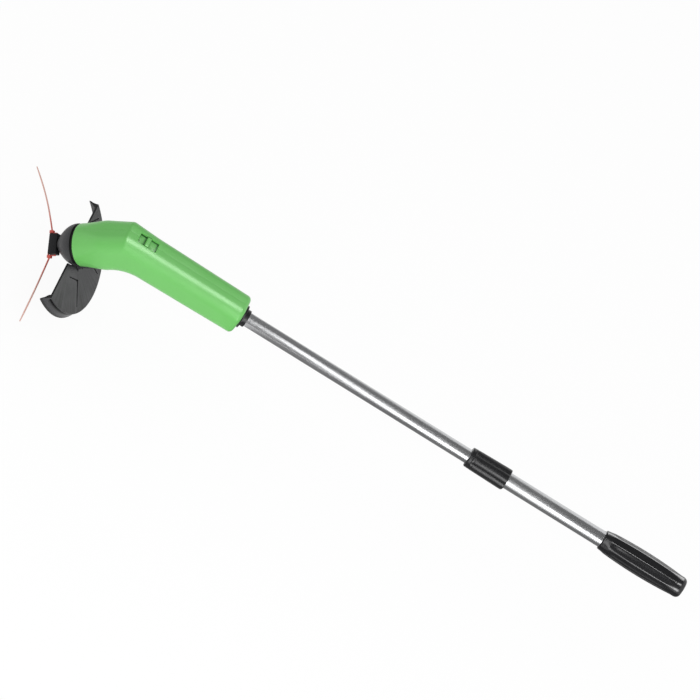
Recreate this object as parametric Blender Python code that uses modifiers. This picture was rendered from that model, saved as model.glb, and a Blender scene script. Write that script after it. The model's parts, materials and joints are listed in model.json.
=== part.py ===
"""Cordless grass trimmer: a bent two-part housing with a motor and four cells, a nose with a spinning
cutter hub that carries two cable ties, a half-round guard, a telescopic pole, a twist collar and a grip.

Lengths are millimetres, and `blend` shares run from 0 to 1. The pole lies along X with the grip at +X,
the bend plane is Y = 0 and the switch side is up. The origin is the middle of the grip, where the hand
holds the tool. These empties carry the pieces: knee_frame at the bend, with the pole's axes; head_frame
at the bend, its Z along the cutter's axis and its X towards the guard; hub_frame, the same but turned
to where the cutter stands; pole_frame at the bend, its Z along the pole and its X down.
"""

import math

import bmesh
import bpy
from mathutils import Matrix, Vector

MM = 0.001
GAP = 0.3
THROUGH = 40.0
PAST = 2.0
SMALLEST_CORNER = 0.01
MERGE_WITHIN = 0.00001
ROUND_STEPS = 24
SMALL_STEPS = 16
TINY_STEPS = 12

# Housing
BEND_DEG = 44.0
HEAD_LENGTH = 57.8
HANDLE_LENGTH = 145.0
HEAD_SIDE = 47.0
KNEE_SIDE = 43.0
END_SIDE = 40.0
FRONT_RADIUS = 23.4
HEAD_CORNER = 15.0
HANDLE_CORNER = 14.0
END_ROUNDING = 5.0
END_STEPS = 4
FRONT_ROUNDING = 1.6
FRONT_STEPS = 2
HEAD_STATIONS = ((0.55, 0.7), (0.25, 0.2))
BEND_AXIS_RADIUS = 62.0
WALL = 2.2
END_WALL = 3.0
END_SLIMMER = 1.0
HALF_SEAM = 0.15
CAVITY_OUT = 10.0
CORNER_STEPS = 5
FAN_STEPS = 8

# What stands inside the housing
BOSS_RADIUS = 3.2
SHELF_TOP = 3.2
SHELF_WIDTH = 2.4
SHELF_SHARES = (0.18, 0.78)
SWITCH_SHELF = 2.0
SWITCH_SHELF_SHORT = 3.0
GUARD_BOSS_RADIUS = 2.9
GUARD_BOSS_CLEAR = 1.5
MOTOR_RIBS = (20.0, 36.0)
MOTOR_RIB_WIDTH = 2.0

# Screws
SCREW_HEAD_RADIUS = 2.7
SCREW_HEAD_HEIGHT = 2.0
SCREW_SHANK_RADIUS = 1.1
SCREW_TAPER = 0.7
SCREW_LENGTH = 16.0
SCREW_HEAD_SINK = 6.5
SCREW_OVERLAP = 0.5
SCREW_SLOT = 0.6
SCREW_SLOT_DEPTH = 0.8
SCREW_POINT = 1.0
SCREW_PILOT_START = 1.0
SCREW_PILOT_SPARE = 2.0
HANDLE_SCREWS_FROM_END = (24.0, 79.0)
HANDLE_SCREW_LEVEL = 11.0
HEAD_SCREWS = ((-2.6, -14.2), (28.0, 17.6), (30.0, -17.6))

# Battery door
DOOR_SHORT_OF_HANDLE = 39.0
DOOR_HALF_WIDTH = 15.2
DOOR_LEVEL = -12.0
THUMB_RIBS = 4
THUMB_RIB_START = 8.0
THUMB_RIB_PITCH = 3.0
THUMB_RIB_WIDTH = 1.2
THUMB_RIB_HALF_LENGTH = 7.0
THUMB_RIB_DEPTH = 0.9

# Nose
NOSE_RADIUS = 23.3
NOSE_LENGTH = 26.2
NOSE_TIP_RADIUS = 5.0
NOSE_WALL = 2.4
NOSE_STEPS = 7
NOSE_INNER_STEPS = 4
NOSE_RING = 2.2
NOSE_RING_DEPTH = 1.4
NOSE_SKIRT = 7.4
NOSE_SKIRT_WALL = 2.2
NOSE_TUBE_WALL = 1.6
NOSE_HOLLOW_STEP = 1.0
NOSE_TUBE_RISE = 3.0
GROOVE_FROM_BASE = 2.6
GROOVE_WIDTH = 2.2
GROOVE_SKIN = 1.2
GROOVE_INNER_RADIUS = 18.0
BEAD_EDGE = 0.3

# Motor
MOUNT_PLATE = 2.4
MOUNT_PLATE_SLACK = 0.7
MOUNT_PLATE_BORE = 3.6
MOTOR_RADIUS = 12.1
MOTOR_LENGTH = 31.0
MOTOR_WALL = 0.8
MOTOR_FACE = 1.2
MOTOR_REAR = 16.0
BEARING_RADIUS = 3.1
BEARING_HEIGHT = 2.0
BELL_INSIDE = 2.4
BELL_RIM = 1.8
BELL_HUB_RADIUS = 4.2
BELL_HUB = 4.0
SHAFT_RADIUS = 1.0
SHAFT_BEHIND_MOTOR = 5.0
SHAFT_IN_HUB = 0.62
ARMATURE_RADIUS = 9.2
ARMATURE_LENGTH = 17.0
WINDING_RADII = (6.0, 7.6)
WINDING_REACH = 2.0
WINDING_EDGE = 0.2
COMMUTATOR_RADIUS = 3.4
COMMUTATOR_GAP = 1.0
COMMUTATOR_LENGTH = 4.3
MAGNET_THICKNESS = 1.4
MAGNET_DEG = 120.0
MAGNET_STEPS = 10
TERMINAL_OFFSET = 8.5
TERMINAL_HALF_WIDTH = 1.4
TERMINAL_HALF_THICKNESS = 0.3
TERMINAL_OUT = 6.5
MOTOR_SCREW_OFFSET = 8.2
MOTOR_SCREW_HEAD_RADIUS = 1.8
MOTOR_SCREW_HEAD_HEIGHT = 1.2
MOTOR_SCREW_RADIUS = 0.9
MOTOR_SCREW_BITE = 0.9
MOTOR_SCREW_BORE = 12.0

# Guard
GUARD_RADIUS = 76.9
GUARD_THICKNESS = 2.2
GUARD_FORWARD = 10.0
GUARD_CHORD = 9.5
GUARD_NOTCH_RADIUS = 23.0
GUARD_STEPS = 44
GUARD_STEP_IN = 2.4
GUARD_SKIRT = 12.0
GUARD_FLARE = 3.3
GUARD_SKIRT_OUTSIDE = ((-2.4, 0.0), (-1.7, 0.9), (-1.5, 2.2), (-0.6, 2.6), (0.0, 3.4), (0.9, 7.0))
GUARD_SKIRT_INSIDE = ((-0.9, 7.4), (-2.0, 4.4))
GUARD_LIP = 1.6
GUARD_INNER_STEP = 1.2
TONGUE_WIDTH = 18.0
TONGUE_THICKNESS = 2.5
TONGUE_LENGTH = 34.0
TONGUE_FOOT = 6.0
TONGUE_BITE = 0.8
TONGUE_SCREW_SPACING = 12.0
TONGUE_SCREW_RISE = 9.5
TONGUE_SCREW_LENGTH = 9.0
TONGUE_SCREW_HEAD_RADIUS = 2.3
PANEL_DEPTH = 0.9
PANEL_CORNERS = ((19.5, 32.4), (33.6, 21.5), (56.3, 39.8), (42.2, 50.7))
GROOVE_LINE_CORNERS = ((52.2, 17.0), (68.2, 22.9), (67.8, 24.1), (51.8, 18.2))

# Cutter
HUB_LENGTH = 23.0
HUB_WIDTH = 10.4
HUB_HEIGHT = 10.4
HUB_BEVEL = 1.1
HUB_TURN_DEG = 54.6
HUB_SCREW_START = 0.7
HUB_SCREW_HEAD_RADIUS = 2.4
HUB_SCREW_HEAD_HEIGHT = 1.4
HUB_SCREW_RADIUS = 0.8
HUB_SCREW_END = 0.72
HUB_SLOT_REAR = 2.4
HUB_SLOT_INNER = 5.1
HUB_BAR = 3.4
HUB_SLOT_SLACK = 0.2
TIE_WIDTH = 2.5
TIE_THICKNESS = 1.0
TIE_TAIL = 77.0
TIE_TAPER_START = 0.8
TIE_TILT_DEG = 21.0
TIE_BOWS = (2.4, 0.6)
TIE_STEPS = 8
TIE_HEAD = 4.6
TIE_HEAD_DEPTH = 3.5
TIE_HEAD_OVERLAP = 0.9
TIE_ROOT_OUT = 1.4
TIE_LOOP_SLACK = 0.1

# Switch
SLOT_LENGTH = 22.4
SLOT_WIDTH = 14.0
SLOT_FROM_KNEE = 4.4
SLIDER_FROM_KNEE = 14.9
SLIDER_RIDGE = 5.8
SLIDER_RIDGE_TAPER = 0.6
SLIDER_RIDGE_PROUD = 0.9
SLIDER_RIDGE_BEVEL = 0.5
SLIDER_TRAVEL = 5.0
SLIDER_PLATE = 1.3
SLIDER_SINK = 0.5
SLIDER_OVERLAP_REAR = 1.0
SLIDER_OVERLAP_FRONT = 1.2
SLIDER_OVERLAP_SIDE = 1.1
SWITCH_BODY = (20.0, 7.0, 6.0)
SWITCH_BODY_DROP = 4.2
SWITCH_BODY_BEVEL = 0.4
LEVER_HALF_LENGTH = 1.6
LEVER_HALF_WIDTH = 1.5
LEVER_DEPTH = 2.1
LEVER_SLOT_DEPTH = 2.5
LEVER_SLOT_END = 0.6
LEVER_SLOT_SIDE = 0.4

# Cells and what holds them
CELLS_SHORT_OF_HANDLE = 44.0
CELL_RADIUS = 7.25
CELL_DROP = 9.2
CELL_SPACING = 14.8
CELL_NUB_RADIUS = 2.7
CELL_NUB_HEIGHT = 1.2
CELL_OVERLAP = 0.8
TRAY_START = 20.5
TRAY_WALL = 1.5
TRAY_SIDE = 1.1
CONTACT_THICKNESS = 0.5
CONTACT_REACH = 5.2
CONTACT_LOW = 4.6
CONTACT_TOP = -3.5
CONTACT_POCKET_LOW = 3.0
SPRING_LENGTH = 5.2
SPRING_RADIUS = 3.4
SPRING_TIP_SHARE = 0.6
SPRING_WIRE = 0.4
SPRING_TURNS = 3
SPRING_STEPS = 10

# Leads: (along, across, up) of each point; the two near the motor are (forward, towards guard, side)
LEAD_RADIUS = 0.65
LEAD_BEHIND_TERMINAL = 1.1
LEAD_OUT_OF_TRAY = ((-1.2, -9.0, -4.0), (-2.0, -9.6, -0.5), (-0.5, -9.8, 2.6))
LEAD_ROUND_SWITCH = ((3.0, -9.8, 3.0), (4.5, -8.0, 6.0))
LEAD_INTO_SWITCH = ((3.6, -4.0), (1.2, -1.6))
LEAD_OUT_OF_SWITCH = ((-1.2, -1.6, 0.0), (-3.4, -3.0, -2.0))
LEAD_UNDER_SWITCH = (-2.0, -7.4, 3.0)
RED_LEAD_NEAR_MOTOR = (-2.0, -3.0, -8.4)
BLACK_LEAD_OUT_OF_TRAY = ((-1.2, 9.0, -4.0), (-4.5, 9.4, -3.5), (-10.0, 9.2, -4.5))
BLACK_LEAD_NEAR_MOTOR = (-4.0, 1.5, 8.8)

# Pole
INNER_TUBE_RADIUS = 8.25
OUTER_TUBE_RADIUS = 9.35
TUBE_WALL = 0.7
INNER_TUBE_LENGTH = 385.0
INNER_TUBE_SHOWN = 292.0
OUTER_TUBE_SHOWN = 123.0
OUTER_TUBE_SETBACK = 5.0
GLIDE_BORE = 3.0
GLIDE_OUT = 4.0
GLIDE_IN = 10.0
GLIDE_EDGE = 0.5
PLUG_LENGTH = 7.0
PLUG_SETBACK = 1.0

# Socket in the handle's end
FLANGE_RADIUS = 13.4
FLANGE_THICKNESS = 2.3
FLANGE_EDGE = 0.5
BOSS_OUT_RADIUS = 10.0
BOSS_OUT_LENGTH = 4.7
BOSS_OUT_EDGE = 0.6
SOCKET_DEPTH = 12.0
SOCKET_LEAD_BORE = 3.0
SOCKET_FLANGE = 2.4
SOCKET_FLANGE_WIDER = 0.4
END_HOLE_SPARE = 4.0

# Twist collar and collet
COLLAR_LENGTH = 49.0
COLLAR_RADIUS = 12.9
COLLAR_HEAD_RADIUS = 12.1
COLLAR_LIP_RADIUS = 11.6
COLLAR_LOBES = 6
COLLAR_LOBE_TURN_DEG = 5.0
COLLAR_GROOVE_DEPTH = 1.5
COLLAR_GROOVE_ROW = (1.0, 0.45, 0.0, -0.133, -0.167, -0.133, 0.0, 0.45)
COLLAR_LIP = ((0.0, -0.8), (0.9, 0.0), (4.2, 0.1))
COLLAR_HEAD = ((4.8, -0.2, 0.1), (8.0, 0.1, 1.0))
COLLAR_REAR = ((6.0, -0.1, 1.0), (0.9, -0.2, 1.0), (0.0, -1.0, 0.8))
COLLAR_SEAT = 3.0
COLLAR_SLACK = 0.1
COLLET_LENGTH = 10.0
COLLET_WALL_OUT = 0.55
COLLET_SLIT = 0.6
COLLET_SLIT_START = 2.5

# Grip
GRIP_LENGTH = 104.0
GRIP_RADIUS = 14.25
GRIP_MOUTH_RADIUS = 11.4
GRIP_END_RADIUS = 11.0
GRIP_FLUTES = 10
GRIP_FLUTE_TURN_DEG = 28.3
GRIP_FLUTE_DEPTH = 1.2
GRIP_SOLID_END = 20.0
GRIP_FLUTE_ROW = (0.0, 0.7, 1.0, 0.7)
GRIP_MOUTH = ((0.0, -0.7), (0.012, 0.0), (0.05, 0.55))
GRIP_BARREL = ((0.1, 0.2), (0.2, 0.8), (0.3, 1), (0.45, 1), (0.6, 1), (0.72, 1), (0.82, 0.8),
               (0.92, 0))
GRIP_SHOULDERS = (0.4, 0.6)
GRIP_BULGE_START = -0.01
GRIP_BULGE_SPAN = 0.96
GRIP_BULGE_FULLNESS = 0.8
GRIP_CAP_SHARE = 0.06
GRIP_CAP_FLAT = 0.55
GRIP_CAP_STEPS = 4
GRIP_CAP_FULLNESS = 0.8

BEND = math.radians(BEND_DEG)
BORE_RADIUS = SCREW_SHANK_RADIUS + GAP
NOSE_BASE = HEAD_LENGTH + GAP
NOSE_TIP = NOSE_BASE + NOSE_LENGTH
GUARD_REAR = HEAD_LENGTH + GUARD_FORWARD
HUB_REAR = NOSE_TIP + GAP
HUB_FRONT = HUB_REAR + HUB_HEIGHT
MOUNT_PLATE_TOP = NOSE_BASE - NOSE_SKIRT - GAP
MOUNT_PLATE_LOW = MOUNT_PLATE_TOP - MOUNT_PLATE
MOTOR_FRONT = min(MOTOR_REAR + MOTOR_LENGTH, MOUNT_PLATE_LOW - GAP)
BELL_TOP = MOTOR_REAR + BELL_INSIDE
ARMATURE_LOW = BELL_TOP + COMMUTATOR_GAP + COMMUTATOR_LENGTH + GAP
TONGUE_SCREW_FORWARD = GUARD_REAR - TONGUE_LENGTH + TONGUE_SCREW_RISE
FAN_TANGENT = BEND_AXIS_RADIUS * math.tan(BEND / 2)
CELL_LENGTH = (HANDLE_LENGTH - CELLS_SHORT_OF_HANDLE) / 2
CELL_START = TRAY_START + TRAY_WALL + CONTACT_THICKNESS + SPRING_LENGTH + 3 * GAP
TRAY_END = CELL_START + 2 * CELL_LENGTH + CONTACT_THICKNESS + 3 * GAP + TRAY_WALL
DOOR_LENGTH = HANDLE_LENGTH - DOOR_SHORT_OF_HANDLE
DOOR_START = (TRAY_START + TRAY_END - DOOR_LENGTH) / 2
DOOR_END = DOOR_START + DOOR_LENGTH
SLIDER_TOP = KNEE_SIDE / 2 - WALL - SLIDER_SINK
SWITCH_LOW = KNEE_SIDE / 2 - WALL - SLIDER_PLATE - SWITCH_BODY_DROP - SWITCH_BODY[2]
TUBE_START = HANDLE_LENGTH - SOCKET_DEPTH + TRAY_WALL + GAP
INNER_TUBE_END = TUBE_START + INNER_TUBE_LENGTH
COLLAR_START = HANDLE_LENGTH + INNER_TUBE_SHOWN
COLLAR_END = COLLAR_START + COLLAR_LENGTH
OUTER_TUBE_START = COLLAR_START + COLLET_LENGTH + OUTER_TUBE_SETBACK
GRIP_START = COLLAR_END + OUTER_TUBE_SHOWN
GRIP_CENTRE = GRIP_START + GRIP_LENGTH / 2
GRIP_BORE_DEPTH = GRIP_LENGTH - GRIP_SOLID_END
OUTER_TUBE_END = GRIP_START + GRIP_BORE_DEPTH - GAP

GREEN = ("green_plastic", (0.13, 0.52, 0.10, 1.0), 0.38, 0.0)
BLACK = ("black_plastic", (0.022, 0.022, 0.024, 1.0), 0.42, 0.0)
GREY = ("dark_grey_plastic", (0.075, 0.075, 0.080, 1.0), 0.50, 0.0)
STEEL = ("stainless_steel", (0.62, 0.63, 0.64, 1.0), 0.22, 1.0)
ZINC = ("zinc_steel", (0.55, 0.56, 0.58, 1.0), 0.35, 1.0)
BRASS = ("brass", (0.70, 0.52, 0.22, 1.0), 0.35, 1.0)
COPPER = ("copper", (0.72, 0.32, 0.18, 1.0), 0.35, 1.0)
FERRITE = ("ferrite", (0.05, 0.05, 0.055, 1.0), 0.7, 0.0)
RED_NYLON = ("red_nylon", (0.80, 0.10, 0.05, 1.0), 0.45, 0.0)
CELL_SKIN = ("cell_sleeve", (0.06, 0.10, 0.32, 1.0), 0.35, 0.0)
RED_WIRE = ("red_wire", (0.60, 0.03, 0.03, 1.0), 0.5, 0.0)
BLACK_WIRE = ("black_wire", (0.02, 0.02, 0.02, 1.0), 0.5, 0.0)


def clear_scene():
    for obj in list(bpy.data.objects):
        bpy.data.objects.remove(obj, do_unlink=True)


def new_collection(name):
    collection = bpy.data.collections.new(name)
    bpy.context.scene.collection.children.link(collection)
    return collection


def material_for(finish):
    name, colour, roughness, metallic = finish
    material = bpy.data.materials.get(name)
    if material is None:
        material = bpy.data.materials.new(name)
        material.use_nodes = True
        shader = material.node_tree.nodes["Principled BSDF"]
        shader.inputs["Base Color"].default_value = colour
        shader.inputs["Roughness"].default_value = roughness
        shader.inputs["Metallic"].default_value = metallic
    return material


class Builder:
    """Keeps the collections and frames, and turns bmesh shapes in millimetres into placed objects."""

    def __init__(self):
        clear_scene()
        self.parts = new_collection("grass_trimmer")
        self.cutters = new_collection("grass_trimmer_cutters")
        self.tool = self.empty("trimmer", Matrix.Identity(4), None)
        knee = Matrix.Translation((-GRIP_CENTRE * MM, 0, 0))
        self.knee = self.empty("knee_frame", knee, self.tool)
        towards_guard = Vector((math.sin(BEND), 0, -math.cos(BEND)))
        forward = Vector((-math.cos(BEND), 0, -math.sin(BEND)))
        head = knee @ axes_matrix(towards_guard, forward)
        self.head = self.empty("head_frame", head, self.tool)
        turn = Matrix.Rotation(math.radians(HUB_TURN_DEG), 4, "Z")
        self.hub = self.empty("hub_frame", head @ turn, self.tool)
        along_pole = axes_matrix(Vector((0, 0, -1)), Vector((1, 0, 0)))
        self.pole = self.empty("pole_frame", knee @ along_pole, self.tool)

    def empty(self, name, matrix, parent):
        obj = bpy.data.objects.new(name, None)
        obj.empty_display_size = 20 * MM
        self.parts.objects.link(obj)
        obj.parent = parent
        obj.matrix_local = matrix
        return obj

    def place(self, name, mesh, frame, at, finish):
        """A piece when it has a finish, and a hidden cutter when it has none."""
        obj = bpy.data.objects.new(name, mesh)
        obj.parent = frame
        obj.location = Vector(at) * MM
        if finish:
            self.parts.objects.link(obj)
            mesh.materials.append(material_for(finish))
        else:
            self.cutters.objects.link(obj)
            obj.hide_render = True
            obj.display_type = "WIRE"
        return obj

    def solid(self, name, shape, frame, finish=None, at=(0, 0, 0), bevel=0.0):
        """An object from a bmesh drawn in the frame's own coordinates; `at` becomes its origin."""
        bmesh.ops.translate(shape, verts=shape.verts, vec=-Vector(at))
        bmesh.ops.scale(shape, vec=(MM, MM, MM), verts=shape.verts)
        bmesh.ops.recalc_face_normals(shape, faces=shape.faces)
        mesh = bpy.data.meshes.new(name)
        shape.to_mesh(mesh)
        shape.free()
        mesh.shade_smooth()
        mesh.set_sharp_from_angle(angle=math.radians(35))
        obj = self.place(name, mesh, frame, at, finish)
        if bevel:
            modifier = obj.modifiers.new("edges", "BEVEL")
            modifier.width = bevel * MM
            modifier.segments = 2
            modifier.limit_method = "ANGLE"
            modifier.angle_limit = math.radians(40)
        return obj

    def turned(self, name, profile, frame, finish=None, at=(0, 0, 0), closed=True, steps=ROUND_STEPS):
        """A Screw about the frame's Z of (radius, height) points, which run down the outer side."""
        shape = bmesh.new()
        verts = [shape.verts.new(((r - at[0]) * MM, 0, (z - at[2]) * MM)) for r, z in profile]
        for first, second in zip(verts, verts[1:]):
            shape.edges.new((first, second))
        if closed:
            shape.edges.new((verts[-1], verts[0]))
        mesh = bpy.data.meshes.new(name)
        shape.to_mesh(mesh)
        shape.free()
        obj = self.place(name, mesh, frame, at, finish)
        screw = obj.modifiers.new("turned", "SCREW")
        screw.axis = "Z"
        screw.steps = steps
        screw.render_steps = steps
        screw.use_merge_vertices = True
        screw.merge_threshold = MERGE_WITHIN
        screw.use_smooth_shade = True
        return obj

    def wire(self, name, route, radius, frame, finish, sides=2):
        """A round bar along straight stretches between the route's points, as a POLY curve."""
        curve = bpy.data.curves.new(name, "CURVE")
        curve.dimensions = "3D"
        curve.bevel_depth = radius * MM
        curve.bevel_resolution = sides
        curve.use_fill_caps = True
        spline = curve.splines.new("POLY")
        spline.points.add(len(route) - 1)
        for point, place in zip(spline.points, route):
            point.co = (*(Vector(place) * MM), 1.0)
        obj = bpy.data.objects.new(name, curve)
        obj.parent = frame
        self.parts.objects.link(obj)
        curve.materials.append(material_for(finish))
        return obj


def axes_matrix(x_axis, z_axis):
    y_axis = z_axis.cross(x_axis)
    return Matrix((x_axis, y_axis, z_axis)).transposed().to_4x4()


def boolean(obj, other, operation="DIFFERENCE"):
    modifier = obj.modifiers.new(other.name, "BOOLEAN")
    modifier.operation = operation
    modifier.solver = "EXACT"
    modifier.object = other
    return obj


def box(corner, opposite, shape=None):
    """A box between two opposite corners, given in any order."""
    shape = shape or bmesh.new()
    corner, opposite = Vector(corner), Vector(opposite)
    size = Vector([abs(length) for length in opposite - corner])
    matrix = Matrix.Translation((corner + opposite) / 2) @ Matrix.Diagonal((*size, 1.0))
    bmesh.ops.create_cube(shape, size=1.0, matrix=matrix)
    return shape


def rod(start, end, radius, shape=None, steps=SMALL_STEPS, end_radius=None):
    """A cylinder or cone from start to end."""
    shape = shape or bmesh.new()
    start, end = Vector(start), Vector(end)
    along = end - start
    turn = Vector((0, 0, 1)).rotation_difference(along).to_matrix().to_4x4()
    bmesh.ops.create_cone(
        shape, cap_ends=True, segments=steps, radius1=radius,
        radius2=radius if end_radius is None else end_radius,
        depth=along.length, matrix=Matrix.Translation((start + end) / 2) @ turn,
    )
    return shape


def prism(outline, lift, shape=None):
    """A closed flat outline of 3-D points, extruded by the vector lift."""
    shape = shape or bmesh.new()
    face = shape.faces.new([shape.verts.new(point) for point in outline])
    grown = bmesh.ops.extrude_face_region(shape, geom=[face])
    moved = [item for item in grown["geom"] if isinstance(item, bmesh.types.BMVert)]
    bmesh.ops.translate(shape, verts=moved, vec=lift)
    return shape


def loft(rings):
    """A closed body through rings of equal point counts, with flat caps at both ends."""
    shape = bmesh.new()
    rows = [[shape.verts.new(point) for point in ring] for ring in rings]
    count = len(rows[0])
    for near, far in zip(rows, rows[1:]):
        for i in range(count):
            j = (i + 1) % count
            shape.faces.new((near[i], near[j], far[j], far[i]))
    shape.faces.new(rows[0])
    shape.faces.new(reversed(rows[-1]))
    return shape


def blend(a, b, t):
    return a + (b - a) * t


def quarter_turn(step, steps):
    """The angle of a step on the way from 0 to a right angle."""
    return math.pi / 2 * step / steps


def rounded_section(low, high, half_width, corner):
    """Points (across, up) round a rectangle with rounded corners, from its top right corner on."""
    corner = min(corner, (high - low) / 2 - SMALLEST_CORNER, half_width - SMALLEST_CORNER)
    points = []
    for quarter, (side, top) in enumerate(((1, True), (-1, True), (-1, False), (1, False))):
        up = high - corner if top else low + corner
        for step in range(CORNER_STEPS + 1):
            angle = math.pi / 2 * quarter + quarter_turn(step, CORNER_STEPS)
            across = side * (half_width - corner)
            points.append((across + corner * math.cos(angle), up + corner * math.sin(angle)))
    return points


def head_point(forward, towards_guard, side=0.0):
    """A point given along the head's axes, in knee coordinates."""
    return Vector((
        -math.cos(BEND) * forward + math.sin(BEND) * towards_guard,
        side,
        -math.sin(BEND) * forward - math.cos(BEND) * towards_guard,
    ))


def housing_rings(inset):
    """Sections from the front of the head, round the bend, to the handle's end, each pulled in by inset.

    The sections round the bend lie in planes that fan out from one pivot on the hollow side. There the
    surface is an arc, while the top follows two straight lines that meet in a crease half way. The same
    rule with an inset draws the cavity, so the wall keeps its thickness all round the bend.
    """
    rings = []

    def add(origin, up, low, high, half, corner):
        section = rounded_section(low + inset, high - inset, half - inset, corner - inset)
        rings.append([origin + up * level + Vector((0, across, 0)) for across, level in section])

    head_up = head_point(0.0, -1.0)
    if inset:
        front = head_point(HEAD_LENGTH + CAVITY_OUT, 0.0)
        add(front, head_up, -FRONT_RADIUS, FRONT_RADIUS, FRONT_RADIUS, FRONT_RADIUS)
    else:
        for step in range(FRONT_STEPS, -1, -1):
            angle = quarter_turn(step, FRONT_STEPS)
            side = FRONT_RADIUS - FRONT_ROUNDING * (1 - math.cos(angle))
            at = HEAD_LENGTH - FRONT_ROUNDING * (1 - math.sin(angle))
            add(head_point(at, 0.0), head_up, -side, side, side, side)
    for share, round_share in HEAD_STATIONS:
        at = blend(FAN_TANGENT, HEAD_LENGTH, share)
        side = HEAD_SIDE / 2
        add(head_point(at, 0.0), head_up, -side, side, side, blend(HEAD_CORNER, FRONT_RADIUS, round_share))
    pivot = Vector((FAN_TANGENT, 0, -BEND_AXIS_RADIUS))
    for step in range(FAN_STEPS, -1, -1):
        turn = BEND * step / FAN_STEPS
        half = blend(KNEE_SIDE, HEAD_SIDE, step / FAN_STEPS) / 2
        up = Vector((-math.sin(turn), 0, math.cos(turn)))
        far = (BEND_AXIS_RADIUS + half) / math.cos(min(turn, BEND - turn))
        add(pivot, up, BEND_AXIS_RADIUS - half, far, half, HEAD_CORNER)
    up = Vector((0, 0, 1))
    if inset:
        at = HANDLE_LENGTH - END_WALL
        share = (at - FAN_TANGENT) / (HANDLE_LENGTH - FAN_TANGENT)
        half = blend(KNEE_SIDE, END_SIDE, share) / 2 - END_SLIMMER
        add(Vector((at, 0, 0)), up, -half, half, half, HANDLE_CORNER)
    else:
        for step in range(END_STEPS + 1):
            angle = quarter_turn(step, END_STEPS)
            trim = END_ROUNDING * (1 - math.cos(angle))
            half = END_SIDE / 2 - trim
            at = HANDLE_LENGTH - END_ROUNDING * (1 - math.sin(angle))
            add(Vector((at, 0, 0)), up, -half, half, half, HANDLE_CORNER - trim)
    return rings


def screw_places():
    """Where the five housing screws cross the bend plane, in knee coordinates."""
    handle = [Vector((HANDLE_LENGTH - back, 0, HANDLE_SCREW_LEVEL)) for back in HANDLE_SCREWS_FROM_END]
    return handle + [head_point(forward, guard) for forward, guard in HEAD_SCREWS]


def guard_screw_sides():
    return -TONGUE_SCREW_SPACING / 2, TONGUE_SCREW_SPACING / 2


def housing_keep(builder):
    """The solid stretches inside the housing: screw bosses, shelves for tray and switch, guard bosses."""
    keep = bmesh.new()
    across = Vector((0, THROUGH, 0))
    for place in screw_places():
        rod(place - across, place + across, BOSS_RADIUS, keep)
    for share in SHELF_SHARES:
        x = blend(TRAY_START, TRAY_END, share)
        box((x, -THROUGH, GAP), (x + SHELF_WIDTH, THROUGH, SHELF_TOP), keep)
    half = SWITCH_BODY[0] / 2 - SWITCH_SHELF_SHORT
    top = SWITCH_LOW - GAP
    middle = SLIDER_FROM_KNEE
    box((middle - half, -THROUGH, top - SWITCH_SHELF), (middle + half, THROUGH, top), keep)
    for y in guard_screw_sides():
        start = head_point(TONGUE_SCREW_FORWARD, MOTOR_RADIUS + GUARD_BOSS_CLEAR, y)
        rod(start, head_point(TONGUE_SCREW_FORWARD, THROUGH, y), GUARD_BOSS_RADIUS, keep)
    solid = builder.solid("housing_keep", keep, builder.knee)
    ribs = bmesh.new()
    for forward in MOTOR_RIBS:
        box((-THROUGH, -THROUGH, forward), (THROUGH, THROUGH, forward + MOTOR_RIB_WIDTH), ribs)
    plates = builder.solid("motor_ribs", ribs, builder.head)
    seat = rod((0, 0, 0), (0, 0, MOTOR_FRONT + THROUGH), MOTOR_RADIUS + GAP, steps=ROUND_STEPS)
    boolean(plates, builder.solid("motor_rib_bore", seat, builder.head))
    return solid, plates


def housing_holes(builder):
    """Everything that goes through the housing's walls."""
    holes = bmesh.new()
    half = SLOT_WIDTH / 2
    slot_end = SLOT_FROM_KNEE + SLOT_LENGTH
    box((SLOT_FROM_KNEE, -half, SLIDER_TOP - WALL), (slot_end, half, THROUGH), holes)
    for place in screw_places():
        head = place + Vector((0, SCREW_HEAD_SINK, 0))
        rod(head, head + Vector((0, THROUGH, 0)), SCREW_HEAD_RADIUS + GAP, holes)
    inside = HANDLE_LENGTH - END_WALL - END_HOLE_SPARE
    outside = HANDLE_LENGTH + END_HOLE_SPARE
    rod((inside, 0, 0), (outside, 0, 0), BOSS_OUT_RADIUS + GAP, holes, steps=ROUND_STEPS)
    first = builder.solid("housing_holes", holes, builder.knee)
    pilots = bmesh.new()
    for place in screw_places():
        end = place + Vector((0, SCREW_HEAD_SINK - SCREW_LENGTH - SCREW_PILOT_SPARE, 0))
        start = place + Vector((0, SCREW_HEAD_SINK + SCREW_PILOT_START, 0))
        rod(end, start, BORE_RADIUS, pilots, steps=TINY_STEPS)
    for y in guard_screw_sides():
        start = head_point(TONGUE_SCREW_FORWARD, MOTOR_RADIUS + 2 * GUARD_BOSS_CLEAR, y)
        rod(start, head_point(TONGUE_SCREW_FORWARD, THROUGH, y), BORE_RADIUS, pilots, steps=TINY_STEPS)
    second = builder.solid("housing_pilots", pilots, builder.knee)
    return first, second


def nose_groove(builder):
    """The ring groove inside the head's mouth that holds the nose's bead."""
    top = NOSE_BASE - GROOVE_FROM_BASE
    low = top - GROOVE_WIDTH
    outer = FRONT_RADIUS - GROOVE_SKIN
    inner = GROOVE_INNER_RADIUS
    profile = [(inner, top), (outer, top), (outer, low), (inner, low)]
    return builder.turned("nose_groove", profile, builder.head)


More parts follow.
